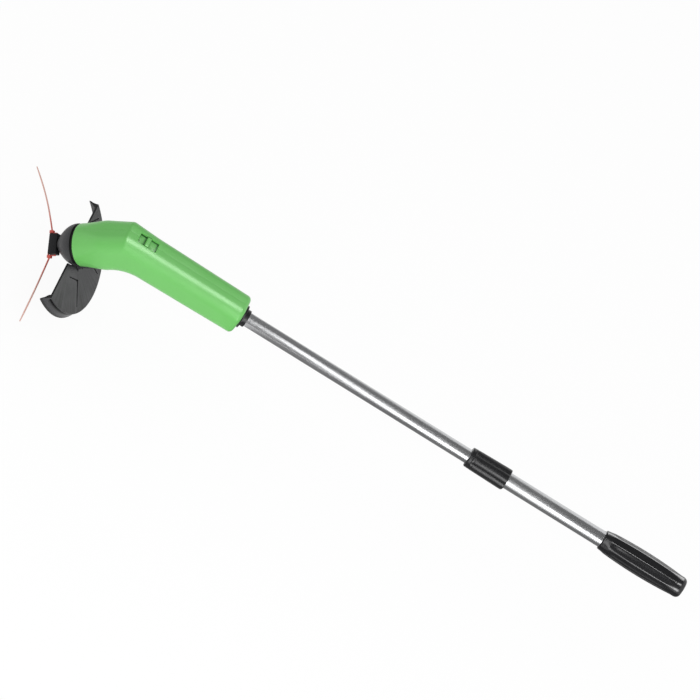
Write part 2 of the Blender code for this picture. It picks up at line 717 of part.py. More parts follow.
def build_housing(builder):
    """Two moulded halves that meet at the bend plane, with the battery door and the screws."""
    keep, ribs = housing_keep(builder)
    cavity = builder.solid("housing_cavity", loft(housing_rings(WALL)), builder.knee)
    boolean(cavity, keep)
    boolean(cavity, ribs)
    holes, pilots = housing_holes(builder)
    groove = nose_groove(builder)
    low = (DOOR_START - GAP, -DOOR_HALF_WIDTH - GAP, -2 * THROUGH)
    high = (DOOR_END + GAP, DOOR_HALF_WIDTH + GAP, DOOR_LEVEL)
    opening = builder.solid("door_opening", box(low, high), builder.knee)
    reach = HANDLE_LENGTH + 2 * THROUGH
    for name, side in (("housing_left", 1), ("housing_right", -1)):
        half = builder.solid(name, loft(housing_rings(0.0)), builder.knee, GREEN)
        boolean(half, cavity)
        other = box((-reach, -side * HALF_SEAM, -reach), (reach, side * 2 * THROUGH, reach))
        cut = builder.solid(name + "_other_side", other, builder.knee)
        for cutter in (cut, holes, pilots, groove, opening):
            boolean(half, cutter)
    build_door(builder)
    for number, place in enumerate(screw_places(), 1):
        seat = place + Vector((0, SCREW_HEAD_SINK + GAP, 0))
        name = f"housing_screw_{number}"
        build_screw(builder, name, builder.knee, seat, Vector((0, -1, 0)), SCREW_LENGTH)


def build_screw(builder, name, frame, seat, direction, length, head_radius=SCREW_HEAD_RADIUS):
    """A pan-head screw whose head's underside is at seat."""
    top = seat - direction * SCREW_HEAD_HEIGHT
    screw = builder.solid(name, rod(top, seat, head_radius), frame, ZINC, at=seat)
    shank = rod(seat - direction * SCREW_OVERLAP, seat + direction * (length - SCREW_POINT),
                SCREW_SHANK_RADIUS, steps=TINY_STEPS, end_radius=SCREW_SHANK_RADIUS * SCREW_TAPER)
    boolean(screw, builder.solid(name + "_shank", shank, frame), "UNION")
    across = direction.orthogonal().normalized() * (head_radius * SCREW_SLOT)
    other = direction.cross(across).normalized() * (SCREW_SLOT / 2)
    outside = top - direction * SCREW_OVERLAP
    corners = [outside + across * a + other * b for a, b in ((-1, -1), (1, -1), (1, 1), (-1, 1))]
    slot = prism(corners, direction * (SCREW_OVERLAP + SCREW_SLOT_DEPTH))
    boolean(screw, builder.solid(name + "_slot", slot, frame))
    return screw


def build_door(builder):
    """The battery door is the piece of the housing's own wall that its opening takes out."""
    inner = builder.solid("door_inner", loft(housing_rings(WALL)), builder.knee)
    middle = (DOOR_START + DOOR_END) / 2
    door = builder.solid("battery_door", loft(housing_rings(0.0)), builder.knee, GREEN,
                         at=(middle, 0, -END_SIDE / 2))
    boolean(door, inner)
    low = (DOOR_START, -DOOR_HALF_WIDTH, -2 * THROUGH)
    high = (DOOR_END, DOOR_HALF_WIDTH, DOOR_LEVEL - GAP)
    boolean(door, builder.solid("door_limits", box(low, high), builder.knee), "INTERSECT")
    thumb = bmesh.new()
    reach = THUMB_RIB_HALF_LENGTH
    for step in range(THUMB_RIBS):
        x = DOOR_START + THUMB_RIB_START + step * THUMB_RIB_PITCH
        top = THUMB_RIB_DEPTH - KNEE_SIDE / 2
        box((x, -reach, -2 * THROUGH), (x + THUMB_RIB_WIDTH, reach, top), thumb)
    boolean(door, builder.solid("door_thumb_ribs", thumb, builder.knee))


def nose_outline(base, tip, inset, steps):
    """(radius, height) points up a parabola of revolution, drawn in by inset."""
    points = []
    for step in range(steps + 1):
        share = step / steps
        radius = NOSE_RADIUS - inset - (NOSE_RADIUS - NOSE_TIP_RADIUS) * share ** 2
        points.append((radius, blend(base, tip, share)))
    return points


def build_nose(builder):
    """The dome in front of the motor: a parabola of revolution, hollow, with a tube round the shaft."""
    skirt = FRONT_RADIUS - WALL - GAP
    hollow = skirt - NOSE_SKIRT_WALL
    low = NOSE_BASE - NOSE_SKIRT
    ring_top = NOSE_BASE + NOSE_RING
    ring = NOSE_RADIUS - NOSE_RING_DEPTH
    bead = FRONT_RADIUS - GROOVE_SKIN - GAP
    bead_top = NOSE_BASE - GROOVE_FROM_BASE - GAP
    bead_low = bead_top - GROOVE_WIDTH + 2 * GAP
    tube = SHAFT_RADIUS + GAP
    wide_tube = tube + NOSE_TUBE_WALL
    tube_low = low + NOSE_TUBE_RISE
    outside = nose_outline(ring_top, NOSE_TIP, 0.0, NOSE_STEPS)
    inside = nose_outline(NOSE_BASE, NOSE_TIP - NOSE_WALL, NOSE_WALL, NOSE_INNER_STEPS)
    profile = [(tube, NOSE_TIP)] + outside[::-1] + [(ring, ring_top), (ring, NOSE_BASE)]
    profile += [(skirt, NOSE_BASE), (skirt, bead_top), (bead, bead_top - BEAD_EDGE)]
    profile += [(bead, bead_low + BEAD_EDGE), (skirt, bead_low), (skirt, low), (hollow, low)]
    profile += [(hollow, NOSE_BASE - NOSE_HOLLOW_STEP)] + [(min(radius, hollow), z) for radius, z in inside[:-1]]
    profile += [(wide_tube, NOSE_TIP - NOSE_WALL), (wide_tube, tube_low), (tube, tube_low)]
    builder.turned("nose_cone", profile, builder.head, GREY)


def build_motor(builder):
    """The can, its end bell, the shaft with its armature and commutator, magnets, terminals and plate."""
    plate = FRONT_RADIUS - WALL - MOUNT_PLATE_SLACK
    builder.turned("motor_mount_plate", [
        (MOUNT_PLATE_BORE, MOUNT_PLATE_TOP), (plate, MOUNT_PLATE_TOP), (plate, MOUNT_PLATE_LOW),
        (MOUNT_PLATE_BORE, MOUNT_PLATE_LOW)], builder.head, BLACK)
    inner = MOTOR_RADIUS - MOTOR_WALL
    bore = SHAFT_RADIUS + GAP
    face = MOTOR_FRONT - MOTOR_FACE
    builder.turned("motor_can", [
        (bore, MOTOR_FRONT + BEARING_HEIGHT), (BEARING_RADIUS, MOTOR_FRONT + BEARING_HEIGHT),
        (BEARING_RADIUS, MOTOR_FRONT), (inner, MOTOR_FRONT), (MOTOR_RADIUS, MOTOR_FRONT - MOTOR_WALL),
        (MOTOR_RADIUS, MOTOR_REAR), (inner, MOTOR_REAR), (inner, face), (bore, face)], builder.head, ZINC)
    rim_low = MOTOR_REAR - BELL_RIM
    hub_low = MOTOR_REAR - BELL_HUB
    builder.turned("motor_end_bell", [
        (bore, BELL_TOP), (inner - GAP, BELL_TOP), (inner - GAP, MOTOR_REAR - GAP),
        (MOTOR_RADIUS, MOTOR_REAR - GAP), (MOTOR_RADIUS, rim_low), (BELL_HUB_RADIUS, rim_low),
        (BELL_HUB_RADIUS, hub_low), (bore, hub_low)], builder.head, BLACK)
    shaft_low = MOTOR_REAR - SHAFT_BEHIND_MOTOR
    shaft_top = HUB_REAR + HUB_HEIGHT * SHAFT_IN_HUB
    shaft = rod((0, 0, shaft_low), (0, 0, shaft_top), SHAFT_RADIUS, steps=TINY_STEPS)
    builder.solid("motor_shaft", shaft, builder.head, STEEL)
    build_armature(builder, bore)
    for number, side in ((1, -1), (2, 1)):
        build_magnet(builder, number, 0.0 if number == 1 else math.pi)
        y = side * TERMINAL_OFFSET
        terminal = box((-TERMINAL_HALF_WIDTH, y - TERMINAL_HALF_THICKNESS, MOTOR_REAR - TERMINAL_OUT),
                       (TERMINAL_HALF_WIDTH, y + TERMINAL_HALF_THICKNESS, rim_low - GAP))
        builder.solid(f"motor_terminal_{number}", terminal, builder.head, BRASS)
        build_motor_screw(builder, number, Vector((side * MOTOR_SCREW_OFFSET, 0, MOUNT_PLATE_TOP + GAP)))


def build_armature(builder, bore):
    """The wound core on the shaft and the commutator behind it."""
    low = ARMATURE_LOW
    high = low + ARMATURE_LENGTH
    narrow, wide = WINDING_RADII
    reach = WINDING_REACH
    builder.turned("motor_armature", [
        (bore, high), (narrow, high), (wide, high - reach + WINDING_EDGE), (ARMATURE_RADIUS, high - reach),
        (ARMATURE_RADIUS, low + reach), (wide, low + reach - WINDING_EDGE), (narrow, low), (bore, low)],
        builder.head, COPPER)
    top = low - GAP
    rear = BELL_TOP + COMMUTATOR_GAP
    builder.turned("motor_commutator", [
        (bore, top), (COMMUTATOR_RADIUS, top), (COMMUTATOR_RADIUS, rear), (bore, rear)],
        builder.head, BRASS, steps=SMALL_STEPS)


def build_magnet(builder, number, middle):
    """A curved ferrite magnet against the inside of the can."""
    outer = MOTOR_RADIUS - MOTOR_WALL - GAP
    inner = outer - MAGNET_THICKNESS
    sweep = math.radians(MAGNET_DEG)
    arc = [middle + sweep * (i / MAGNET_STEPS - 0.5) for i in range(MAGNET_STEPS + 1)]
    outline = [(outer * math.cos(a), outer * math.sin(a), ARMATURE_LOW) for a in arc]
    outline += [(inner * math.cos(a), inner * math.sin(a), ARMATURE_LOW) for a in reversed(arc)]
    shape = prism(outline, Vector((0, 0, ARMATURE_LENGTH)))
    builder.solid(f"motor_magnet_{number}", shape, builder.head, FERRITE)


def build_motor_screw(builder, number, seat):
    """One of the two small screws between the mount plate and the motor's front face."""
    up = Vector((0, 0, 1))
    below = seat - up * MOTOR_SCREW_BORE
    bore = rod(seat + up * PAST, below, MOTOR_SCREW_RADIUS + GAP, steps=TINY_STEPS)
    hole = builder.solid(f"motor_screw_hole_{number}", bore, builder.head)
    boolean(bpy.data.objects["motor_mount_plate"], hole)
    boolean(bpy.data.objects["motor_can"], hole)
    head = rod(seat + up * MOTOR_SCREW_HEAD_HEIGHT, seat, MOTOR_SCREW_HEAD_RADIUS, steps=TINY_STEPS)
    screw = builder.solid(f"motor_screw_{number}", head, builder.head, ZINC)
    tip = Vector((seat.x, 0, MOUNT_PLATE_LOW - GAP - MOTOR_SCREW_BITE))
    shank = rod(seat + up * SCREW_OVERLAP, tip, MOTOR_SCREW_RADIUS, steps=TINY_STEPS)
    boolean(screw, builder.solid(f"motor_screw_shank_{number}", shank, builder.head), "UNION")


def guard_profile():
    """(radius, forward) points round the guard's section: flat plate, step, then the flared skirt."""
    front = GUARD_REAR + GUARD_THICKNESS
    tip = GUARD_REAR + GUARD_SKIRT
    flare = GUARD_RADIUS + GUARD_FLARE
    profile = [(GUARD_NOTCH_RADIUS, GUARD_REAR)]
    profile += [(GUARD_RADIUS + out, GUARD_REAR + forward) for out, forward in GUARD_SKIRT_OUTSIDE]
    profile += [(flare, tip), (flare - GUARD_LIP, tip)]
    profile += [(GUARD_RADIUS + out, GUARD_REAR + forward) for out, forward in GUARD_SKIRT_INSIDE]
    inner = GUARD_RADIUS - GUARD_STEP_IN - GUARD_INNER_STEP
    return profile + [(inner, front), (GUARD_NOTCH_RADIUS, front)]


def build_guard(builder):
    """The half-round guard: its section is swept round the cutter's axis, then cut straight at the chord."""
    profile = guard_profile()
    rings = []
    for step in range(GUARD_STEPS + 1):
        angle = math.pi * (step / GUARD_STEPS - 0.5)
        rings.append([Vector((r * math.cos(angle), r * math.sin(angle), z)) for r, z in profile])
    guard = builder.solid("guard", loft(rings), builder.head, GREY, at=(0, 0, GUARD_REAR))
    far = 2 * GUARD_RADIUS
    chord = box((-far, -far, GUARD_REAR - THROUGH), (GUARD_CHORD, far, GUARD_REAR + THROUGH))
    boolean(guard, builder.solid("guard_chord", chord, builder.head))
    inner = HEAD_SIDE / 2 + GAP
    outer = inner + TONGUE_THICKNESS
    half = TONGUE_WIDTH / 2
    bite = GUARD_REAR + TONGUE_BITE
    end = GUARD_REAR - TONGUE_LENGTH
    side_view = ((inner, bite), (inner, end), (outer, end), (outer, GUARD_REAR - TONGUE_FOOT),
                 (outer + TONGUE_FOOT, bite))
    outline = [Vector((x, -half, z)) for x, z in side_view]
    tongue = builder.solid("guard_tongue", prism(outline, Vector((0, TONGUE_WIDTH, 0))), builder.head)
    boolean(guard, tongue, "UNION")
    recesses = bmesh.new()
    rise = Vector((0, 0, 2 * PANEL_DEPTH))
    for side in (-1, 1):
        for corners in (PANEL_CORNERS, GROOVE_LINE_CORNERS):
            prism([Vector((x, side * y, GUARD_REAR - PANEL_DEPTH)) for x, y in corners], rise, recesses)
    boolean(guard, builder.solid("guard_recesses", recesses, builder.head))
    holes = bmesh.new()
    forward = TONGUE_SCREW_FORWARD
    for y in guard_screw_sides():
        rod((inner - GUARD_LIP, y, forward), (outer + TONGUE_FOOT, y, forward), BORE_RADIUS, holes,
            steps=TINY_STEPS)
    boolean(guard, builder.solid("guard_screw_holes", holes, builder.head))
    for number, y in enumerate(guard_screw_sides(), 1):
        build_screw(builder, f"guard_screw_{number}", builder.head, Vector((outer + GAP, y, forward)),
                    Vector((-1, 0, 0)), TONGUE_SCREW_LENGTH, TONGUE_SCREW_HEAD_RADIUS)


def tie_levels():
    """Forward places of the cable tie's loop: its rear leg's underside and its front leg's upper side."""
    return HUB_REAR + HUB_SLOT_REAR, HUB_FRONT + GAP + TIE_THICKNESS + HUB_SLOT_SLACK


def build_hub(builder):
    """The hub block, bored for the shaft and the screw, with a slot and a bar for a tie at each end."""
    half = HUB_LENGTH / 2
    low = Vector((-half, -HUB_WIDTH / 2, HUB_REAR))
    hub = builder.solid("line_hub", box(low, (half, HUB_WIDTH / 2, HUB_FRONT)), builder.hub, BLACK,
                        at=(0, 0, HUB_REAR), bevel=HUB_BEVEL)
    shaft_end = HUB_REAR + HUB_HEIGHT * SHAFT_IN_HUB + GAP
    bore = rod((0, 0, HUB_REAR - PAST), (0, 0, shaft_end), SHAFT_RADIUS + GAP)
    screw_end = HUB_REAR + HUB_HEIGHT * HUB_SCREW_START
    rod((0, 0, screw_end), (0, 0, HUB_FRONT + PAST), HUB_SCREW_RADIUS + GAP, bore, steps=TINY_STEPS)
    boolean(hub, builder.solid("hub_bore", bore, builder.hub))
    rear = tie_levels()[0] - GAP
    leg_top = rear + 2 * GAP + TIE_THICKNESS + HUB_SLOT_SLACK
    inner = half - HUB_SLOT_INNER
    bar = half - HUB_BAR
    wide = TIE_WIDTH / 2 + GAP
    slots = bmesh.new()
    for side in (-1, 1):
        outline = ((inner, rear), (half + PAST, rear), (half + PAST, leg_top), (bar, leg_top),
                   (bar, HUB_FRONT + PAST), (inner, HUB_FRONT + PAST))
        prism([Vector((side * x, -wide, z)) for x, z in outline], Vector((0, 2 * wide, 0)), slots)
    boolean(hub, builder.solid("hub_slots", slots, builder.hub))


def build_cutter(builder):
    """The hub on the shaft, its screw, and a cable tie looped round the bar at each end."""
    build_hub(builder)
    for number, side in ((1, -1), (2, 1)):
        build_tie(builder, f"cable_tie_{number}", side, TIE_BOWS[number - 1])
    seat = Vector((0, 0, HUB_FRONT + GAP))
    top = seat + Vector((0, 0, HUB_SCREW_HEAD_HEIGHT))
    screw = builder.solid("hub_screw", rod(top, seat, HUB_SCREW_HEAD_RADIUS), builder.hub, ZINC, at=seat)
    tip = Vector((0, 0, HUB_REAR + HUB_HEIGHT * HUB_SCREW_END))
    shank = rod(seat + Vector((0, 0, SCREW_OVERLAP)), tip, HUB_SCREW_RADIUS, steps=TINY_STEPS)
    boolean(screw, builder.solid("hub_screw_shank", shank, builder.hub), "UNION")
    reach = HUB_SCREW_HEAD_RADIUS * SCREW_SLOT
    half = SCREW_SLOT / 2
    slot = box((-reach, -half, top.z - SCREW_SLOT), (reach, half, top.z + PAST))
    boolean(screw, builder.solid("hub_screw_slot", slot, builder.hub))


def build_tie(builder, name, side, bow):
    """A cable tie: a square loop round the hub's bar, its ratchet head outside, and the stiff tail."""
    low, high = tie_levels()
    half = HUB_LENGTH / 2
    near = half - HUB_SLOT_INNER + SCREW_OVERLAP
    far = half + GAP + TIE_THICKNESS + TIE_LOOP_SLACK
    wide = TIE_WIDTH / 2

    def band(inset, spare):
        corners = ((near + inset, low + inset), (far - inset, low + inset), (far - inset, high - inset),
                   (near + inset, high - inset))
        outline = [Vector((side * x, -wide - spare, z)) for x, z in corners]
        return prism(outline, Vector((0, 2 * (wide + spare), 0)))

    tie = builder.solid(name, band(0.0, 0.0), builder.hub, RED_NYLON, at=(side * half, 0, high))
    boolean(tie, builder.solid(name + "_loop_hole", band(TIE_THICKNESS, 1.0), builder.hub))
    head_low = high - TIE_HEAD
    inside = far - TIE_HEAD_OVERLAP
    head = box((side * inside, -TIE_HEAD / 2, head_low),
               (side * (inside + TIE_HEAD_DEPTH), TIE_HEAD / 2, high + HUB_SLOT_SLACK))
    boolean(tie, builder.solid(name + "_head", head, builder.hub), "UNION")
    tilt = math.radians(TIE_TILT_DEG)
    root = Vector((side * (far + TIE_ROOT_OUT), 0, head_low + TIE_HEAD / 2))
    along = Vector((side * math.cos(tilt), 0, math.sin(tilt)))
    normal = Vector((-side * math.sin(tilt), 0, math.cos(tilt)))
    rings = []
    for step in range(TIE_STEPS + 1):
        share = step / TIE_STEPS
        centre = root + along * (TIE_TAIL * share) - normal * (bow * math.sin(math.pi * share))
        taper = max(0.0, share - TIE_TAPER_START) / (1 - TIE_TAPER_START)
        across = Vector((0, blend(wide, wide / 2, taper), 0))
        thin = normal * (TIE_THICKNESS / 2)
        rings.append([centre + across - thin, centre + across + thin, centre - across + thin,
                      centre - across - thin])
    boolean(tie, builder.solid(name + "_tail", loft(rings), builder.hub), "UNION")


def build_switch(builder):
    """The slide switch: a thumb ridge on a plate under the slot, and the electrical switch beneath it."""
    top = SLIDER_TOP
    centre = SLIDER_FROM_KNEE
    rear = SLOT_FROM_KNEE - SLIDER_OVERLAP_REAR
    front = SLOT_FROM_KNEE + SLOT_LENGTH + SLIDER_TRAVEL + SLIDER_OVERLAP_FRONT
    half_width = SLOT_WIDTH / 2 + SLIDER_OVERLAP_SIDE
    plate = box((rear, -half_width, top - SLIDER_PLATE), (front, half_width, top))
    slider = builder.solid("switch_slider", plate, builder.knee, GREEN, at=(centre, 0, top))
    low = top - SLIDER_PLATE / 2
    high = KNEE_SIDE / 2 + SLIDER_RIDGE_PROUD
    half = SLIDER_RIDGE / 2
    slim = half - SLIDER_RIDGE_TAPER
    width = SLOT_WIDTH - 2 * GAP
    side_view = ((-half, low), (half, low), (slim, high), (-slim, high))
    outline = [Vector((centre + x, -width / 2, z)) for x, z in side_view]
    ridge = prism(outline, Vector((0, width, 0)))
    boolean(slider, builder.solid("slider_ridge", ridge, builder.knee, bevel=SLIDER_RIDGE_BEVEL), "UNION")
    length, width, height = SWITCH_BODY
    body_top = SWITCH_LOW + height
    case = box((centre - length / 2, -width / 2, SWITCH_LOW), (centre + length / 2, width / 2, body_top))
    body = builder.solid("switch_body", case, builder.knee, ZINC, bevel=SWITCH_BODY_BEVEL)
    side = LEVER_HALF_WIDTH + LEVER_SLOT_SIDE
    end = LEVER_HALF_LENGTH + LEVER_SLOT_END
    slot = box((centre - SLIDER_TRAVEL - end, -side, body_top - LEVER_SLOT_DEPTH),
               (centre + end, side, body_top + 2))
    boolean(body, builder.solid("switch_body_slot", slot, builder.knee))
    lever_top = top - SLIDER_PLATE - GAP
    lever = box((centre - LEVER_HALF_LENGTH, -LEVER_HALF_WIDTH, body_top - LEVER_DEPTH),
                (centre + LEVER_HALF_LENGTH, LEVER_HALF_WIDTH, lever_top))
    builder.solid("switch_lever", lever, builder.knee, BLACK, at=(centre, 0, lever_top))


def build_tray(builder):
    """The tray: two troughs for the cells and a pocket at each end for a contact plate."""
    half = CELL_SPACING / 2 + CELL_RADIUS + TRAY_SIDE
    shape = box((TRAY_START, -half, -CELL_DROP), (TRAY_END, half, 0.0))
    tray = builder.solid("battery_tray", shape, builder.knee, BLACK)
    for number, side in ((1, -1), (2, 1)):
        y = side * CELL_SPACING / 2
        trough = rod((TRAY_START + TRAY_WALL, y, -CELL_DROP), (TRAY_END - TRAY_WALL, y, -CELL_DROP),
                     CELL_RADIUS + GAP, steps=ROUND_STEPS)
        boolean(tray, builder.solid(f"tray_trough_{number}", trough, builder.knee))
    slot = CONTACT_THICKNESS + 2 * GAP
    wide = CELL_SPACING / 2 + CONTACT_REACH
    for number, start in enumerate((TRAY_START + TRAY_WALL, TRAY_END - TRAY_WALL - slot), 1):
        pocket = box((start, -wide - GAP, -CELL_DROP - CONTACT_POCKET_LOW),
                     (start + slot, wide + GAP, CONTACT_TOP + GAP))
        boolean(tray, builder.solid(f"contact_pocket_{number}", pocket, builder.knee))
        near = start + GAP
        plate = box((near, -wide, -CELL_DROP - CONTACT_LOW), (near + CONTACT_THICKNESS, wide, CONTACT_TOP))
        builder.solid(f"contact_plate_{number}", plate, builder.knee, ZINC)


def build_cells(builder):
    """Four cells in two rows of two, with the contact springs at the end towards the bend."""
    starts = (CELL_START, CELL_START + CELL_LENGTH + GAP)
    places = [(x, side * CELL_SPACING / 2) for x in starts for side in (-1, 1)]
    for number, (x, y) in enumerate(places, 1):
        end = x + CELL_LENGTH
        shoulder = end - CELL_NUB_HEIGHT
        shape = rod((x, y, -CELL_DROP), (shoulder, y, -CELL_DROP), CELL_RADIUS, steps=ROUND_STEPS)
        cell = builder.solid(f"battery_{number}", shape, builder.knee, CELL_SKIN, at=(x, y, -CELL_DROP))
        nub = rod((shoulder - CELL_OVERLAP, y, -CELL_DROP), (end, y, -CELL_DROP), CELL_NUB_RADIUS)
        boolean(cell, builder.solid(f"battery_nub_{number}", nub, builder.knee), "UNION")
    for number, side in ((1, -1), (2, 1)):
        build_spring(builder, number, side * CELL_SPACING / 2)


def build_spring(builder, number, y):
    """A contact spring, as a helix that narrows away from its plate."""
    start = TRAY_START + TRAY_WALL + CONTACT_THICKNESS + 2 * GAP + SPRING_WIRE
    length = SPRING_LENGTH - GAP - 2 * SPRING_WIRE
    steps = SPRING_STEPS * SPRING_TURNS
    route = []
    for i in range(steps + 1):
        share = i / steps
        angle = 2 * math.pi * SPRING_TURNS * share
        radius = SPRING_RADIUS * blend(1.0, SPRING_TIP_SHARE, share)
        route.append((start + length * share, y + radius * math.cos(angle),
                      -CELL_DROP + radius * math.sin(angle)))
    builder.wire(f"contact_spring_{number}", route, SPRING_WIRE, builder.knee, STEEL, sides=1)


def build_wires(builder):
    """The three leads between the tray, the switch and the motor."""
    level = SWITCH_LOW + SWITCH_BODY[2] / 2
    terminal = MOTOR_REAR - TERMINAL_OUT - LEAD_BEHIND_TERMINAL
    rear = SLIDER_FROM_KNEE + SWITCH_BODY[0] / 2
    front = SLIDER_FROM_KNEE - SWITCH_BODY[0] / 2

    def near_motor(place):
        behind, towards_guard, side = place
        return head_point(terminal + behind, towards_guard, side)

    to_switch = [(TRAY_START + along, across, up) for along, across, up in LEAD_OUT_OF_TRAY]
    to_switch += [(rear + along, across, up) for along, across, up in LEAD_ROUND_SWITCH]
    to_switch += [(rear + along, across, level) for along, across in LEAD_INTO_SWITCH]
    from_switch = [(front + along, across, level + up) for along, across, up in LEAD_OUT_OF_SWITCH]
    along, across, up = LEAD_UNDER_SWITCH
    from_switch += [(front + along, across, up), near_motor(RED_LEAD_NEAR_MOTOR),
                    head_point(terminal, 0.0, -TERMINAL_OFFSET)]
    to_motor = [(TRAY_START + along, across, up) for along, across, up in BLACK_LEAD_OUT_OF_TRAY]
    to_motor += [near_motor(BLACK_LEAD_NEAR_MOTOR), head_point(terminal, 0.0, TERMINAL_OFFSET)]
    builder.wire("wire_tray_to_switch", to_switch, LEAD_RADIUS, builder.knee, RED_WIRE)
    builder.wire("wire_switch_to_motor", from_switch, LEAD_RADIUS, builder.knee, RED_WIRE)
    builder.wire("wire_tray_to_motor", to_motor, LEAD_RADIUS, builder.knee, BLACK_WIRE)


def build_neck(builder):
    """The black socket in the handle's end, which grips the inner tube."""
    bore = INNER_TUBE_RADIUS + GAP
    low = HANDLE_LENGTH - SOCKET_DEPTH
    floor = low + TRAY_WALL
    out = HANDLE_LENGTH + GAP
    front = out + FLANGE_THICKNESS
    tip = front + BOSS_OUT_LENGTH
    ledge = HANDLE_LENGTH - END_WALL - GAP
    inner_flange = FLANGE_RADIUS + SOCKET_FLANGE_WIDER
    boss = BOSS_OUT_RADIUS
    builder.turned("neck_socket", [
        (bore, tip), (boss - BOSS_OUT_EDGE, tip), (boss, tip - BOSS_OUT_EDGE), (boss, front),
        (FLANGE_RADIUS - FLANGE_EDGE, front), (FLANGE_RADIUS, front - FLANGE_EDGE), (FLANGE_RADIUS, out),
        (boss, out), (boss, ledge), (inner_flange, ledge), (inner_flange, ledge - SOCKET_FLANGE),
        (boss, ledge - SOCKET_FLANGE), (boss, low), (SOCKET_LEAD_BORE, low), (SOCKET_LEAD_BORE, floor),
        (bore, floor)], builder.pole, BLACK)


def build_tubes(builder):
    """The two tubes, each a ring section turned about the pole, with the plastic glide and plug."""
    spans = (("inner_tube", INNER_TUBE_RADIUS, TUBE_START, INNER_TUBE_END),
             ("outer_tube", OUTER_TUBE_RADIUS, OUTER_TUBE_START, OUTER_TUBE_END))
    for name, radius, low, high in spans:
        inner = radius - TUBE_WALL
        profile = [(inner, high), (radius, high), (radius, low), (inner, low)]
        builder.turned(name, profile, builder.pole, STEEL, at=(0, 0, low))
    narrow = INNER_TUBE_RADIUS - TUBE_WALL - GAP
    wide = OUTER_TUBE_RADIUS - TUBE_WALL - GAP
    end = INNER_TUBE_END
    tip = end + GLIDE_OUT
    builder.turned("tube_glide", [
        (GLIDE_BORE, tip), (wide - GLIDE_EDGE, tip), (wide, tip - GLIDE_EDGE), (wide, end + GAP),
        (narrow, end + GAP), (narrow, end - GLIDE_IN), (GLIDE_BORE, end - GLIDE_IN)],
        builder.pole, BLACK, at=(0, 0, end))
    top = OUTER_TUBE_END - PLUG_SETBACK
    low = top - PLUG_LENGTH
    builder.turned("pole_plug", [(0, top), (wide, top), (wide, low), (0, low)], builder.pole, BLACK,
                   at=(0, 0, low), closed=False)


def fluted_rings(stations, turn_deg, hollows):
    """Rings about Z from (height, radius, share) stations.

    Each repeat round a ring takes its depths from the row of hollows, and share scales them.
    """
    row, repeats = hollows
    around = len(row) * repeats
    turn = math.radians(turn_deg)
    rings = []
    for height, radius, share in stations:
        ring = []
        for i in range(around):
            angle = turn + 2 * math.pi * i / around
            size = radius - share * row[i % len(row)]
            ring.append(Vector((size * math.cos(angle), size * math.sin(angle), height)))
        rings.append(ring)
    return rings


def build_collar(builder):
    """The twist collar with its lobes, and the collet inside that it closes on the inner tube."""
    start, end = COLLAR_START, COLLAR_END
    rear, head, lip = COLLAR_RADIUS, COLLAR_HEAD_RADIUS, COLLAR_LIP_RADIUS
    stations = [(start + after, lip + out, 0.0) for after, out in COLLAR_LIP]
    stations += [(start + after, head + out, share) for after, out, share in COLLAR_HEAD]
    stations += [(end - before, rear + out, share) for before, out, share in COLLAR_REAR]
    row = [COLLAR_GROOVE_DEPTH * depth for depth in COLLAR_GROOVE_ROW]
    rings = fluted_rings(stations, COLLAR_LOBE_TURN_DEG, (row, COLLAR_LOBES))
    collar = builder.solid("lock_collar", loft(rings), builder.pole, BLACK, at=(0, 0, start))
    inner = INNER_TUBE_RADIUS + GAP + COLLAR_SLACK
    wide = OUTER_TUBE_RADIUS + GAP
    room = wide + COLLET_WALL_OUT
    seat = start + COLLAR_SEAT
    shelf = seat + COLLET_LENGTH + 2 * GAP
    past = THROUGH
    bore = builder.turned("collar_bore", [
        (0, end + past), (wide, end + past), (wide, shelf), (room, shelf), (room, seat), (inner, seat),
        (inner, start - past), (0, start - past)], builder.pole, closed=False)
    boolean(collar, bore)
    low = seat + GAP
    high = low + COLLET_LENGTH
    outside = room - GAP
    sleeve = [(inner, high), (outside, high), (outside, low), (inner, low)]
    collet = builder.turned("collar_collet", sleeve, builder.pole, GREY, at=(0, 0, low))
    slit = box((-COLLET_SLIT, -COLLAR_RADIUS, low + COLLET_SLIT_START),
               (COLLET_SLIT, COLLAR_RADIUS, high + THROUGH))
    boolean(collet, builder.solid("collet_slit", slit, builder.pole))


def grip_height(share):
    return GRIP_START + GRIP_LENGTH * share


def build_grip(builder):
    """The hand grip: a long barrel with soft flutes and a rounded end, bored for the outer tube."""
    stations = [(grip_height(share), GRIP_MOUTH_RADIUS + out, 0) for share, out in GRIP_MOUTH]
    front, rear = GRIP_SHOULDERS
    for share, flute in GRIP_BARREL:
        along = (share - GRIP_BULGE_START) / GRIP_BULGE_SPAN
        bulge = math.sin(math.pi * along) ** GRIP_BULGE_FULLNESS
        end = blend(GRIP_MOUTH_RADIUS + front, GRIP_END_RADIUS + rear, share)
        stations.append((grip_height(share), blend(end, GRIP_RADIUS, bulge), flute))
    last = stations[-1][1]
    for step in range(1, GRIP_CAP_STEPS + 1):
        angle = quarter_turn(step, GRIP_CAP_STEPS)
        share = 1 - GRIP_CAP_SHARE * (1 - math.sin(angle))
        fullness = max(0.0, math.cos(angle)) ** GRIP_CAP_FULLNESS
        stations.append((grip_height(share), last * blend(GRIP_CAP_FLAT, 1.0, fullness), 0))
    row = [GRIP_FLUTE_DEPTH * depth for depth in GRIP_FLUTE_ROW]
    rings = fluted_rings(stations, GRIP_FLUTE_TURN_DEG, (row, GRIP_FLUTES))
    grip = builder.solid("grip", loft(rings), builder.pole, BLACK, at=(0, 0, GRIP_CENTRE))
    bore_end = GRIP_START + GRIP_BORE_DEPTH
    hollow = rod((0, 0, GRIP_START - THROUGH), (0, 0, bore_end), OUTER_TUBE_RADIUS + GAP, steps=ROUND_STEPS)
    boolean(grip, builder.solid("grip_bore", hollow, builder.pole))


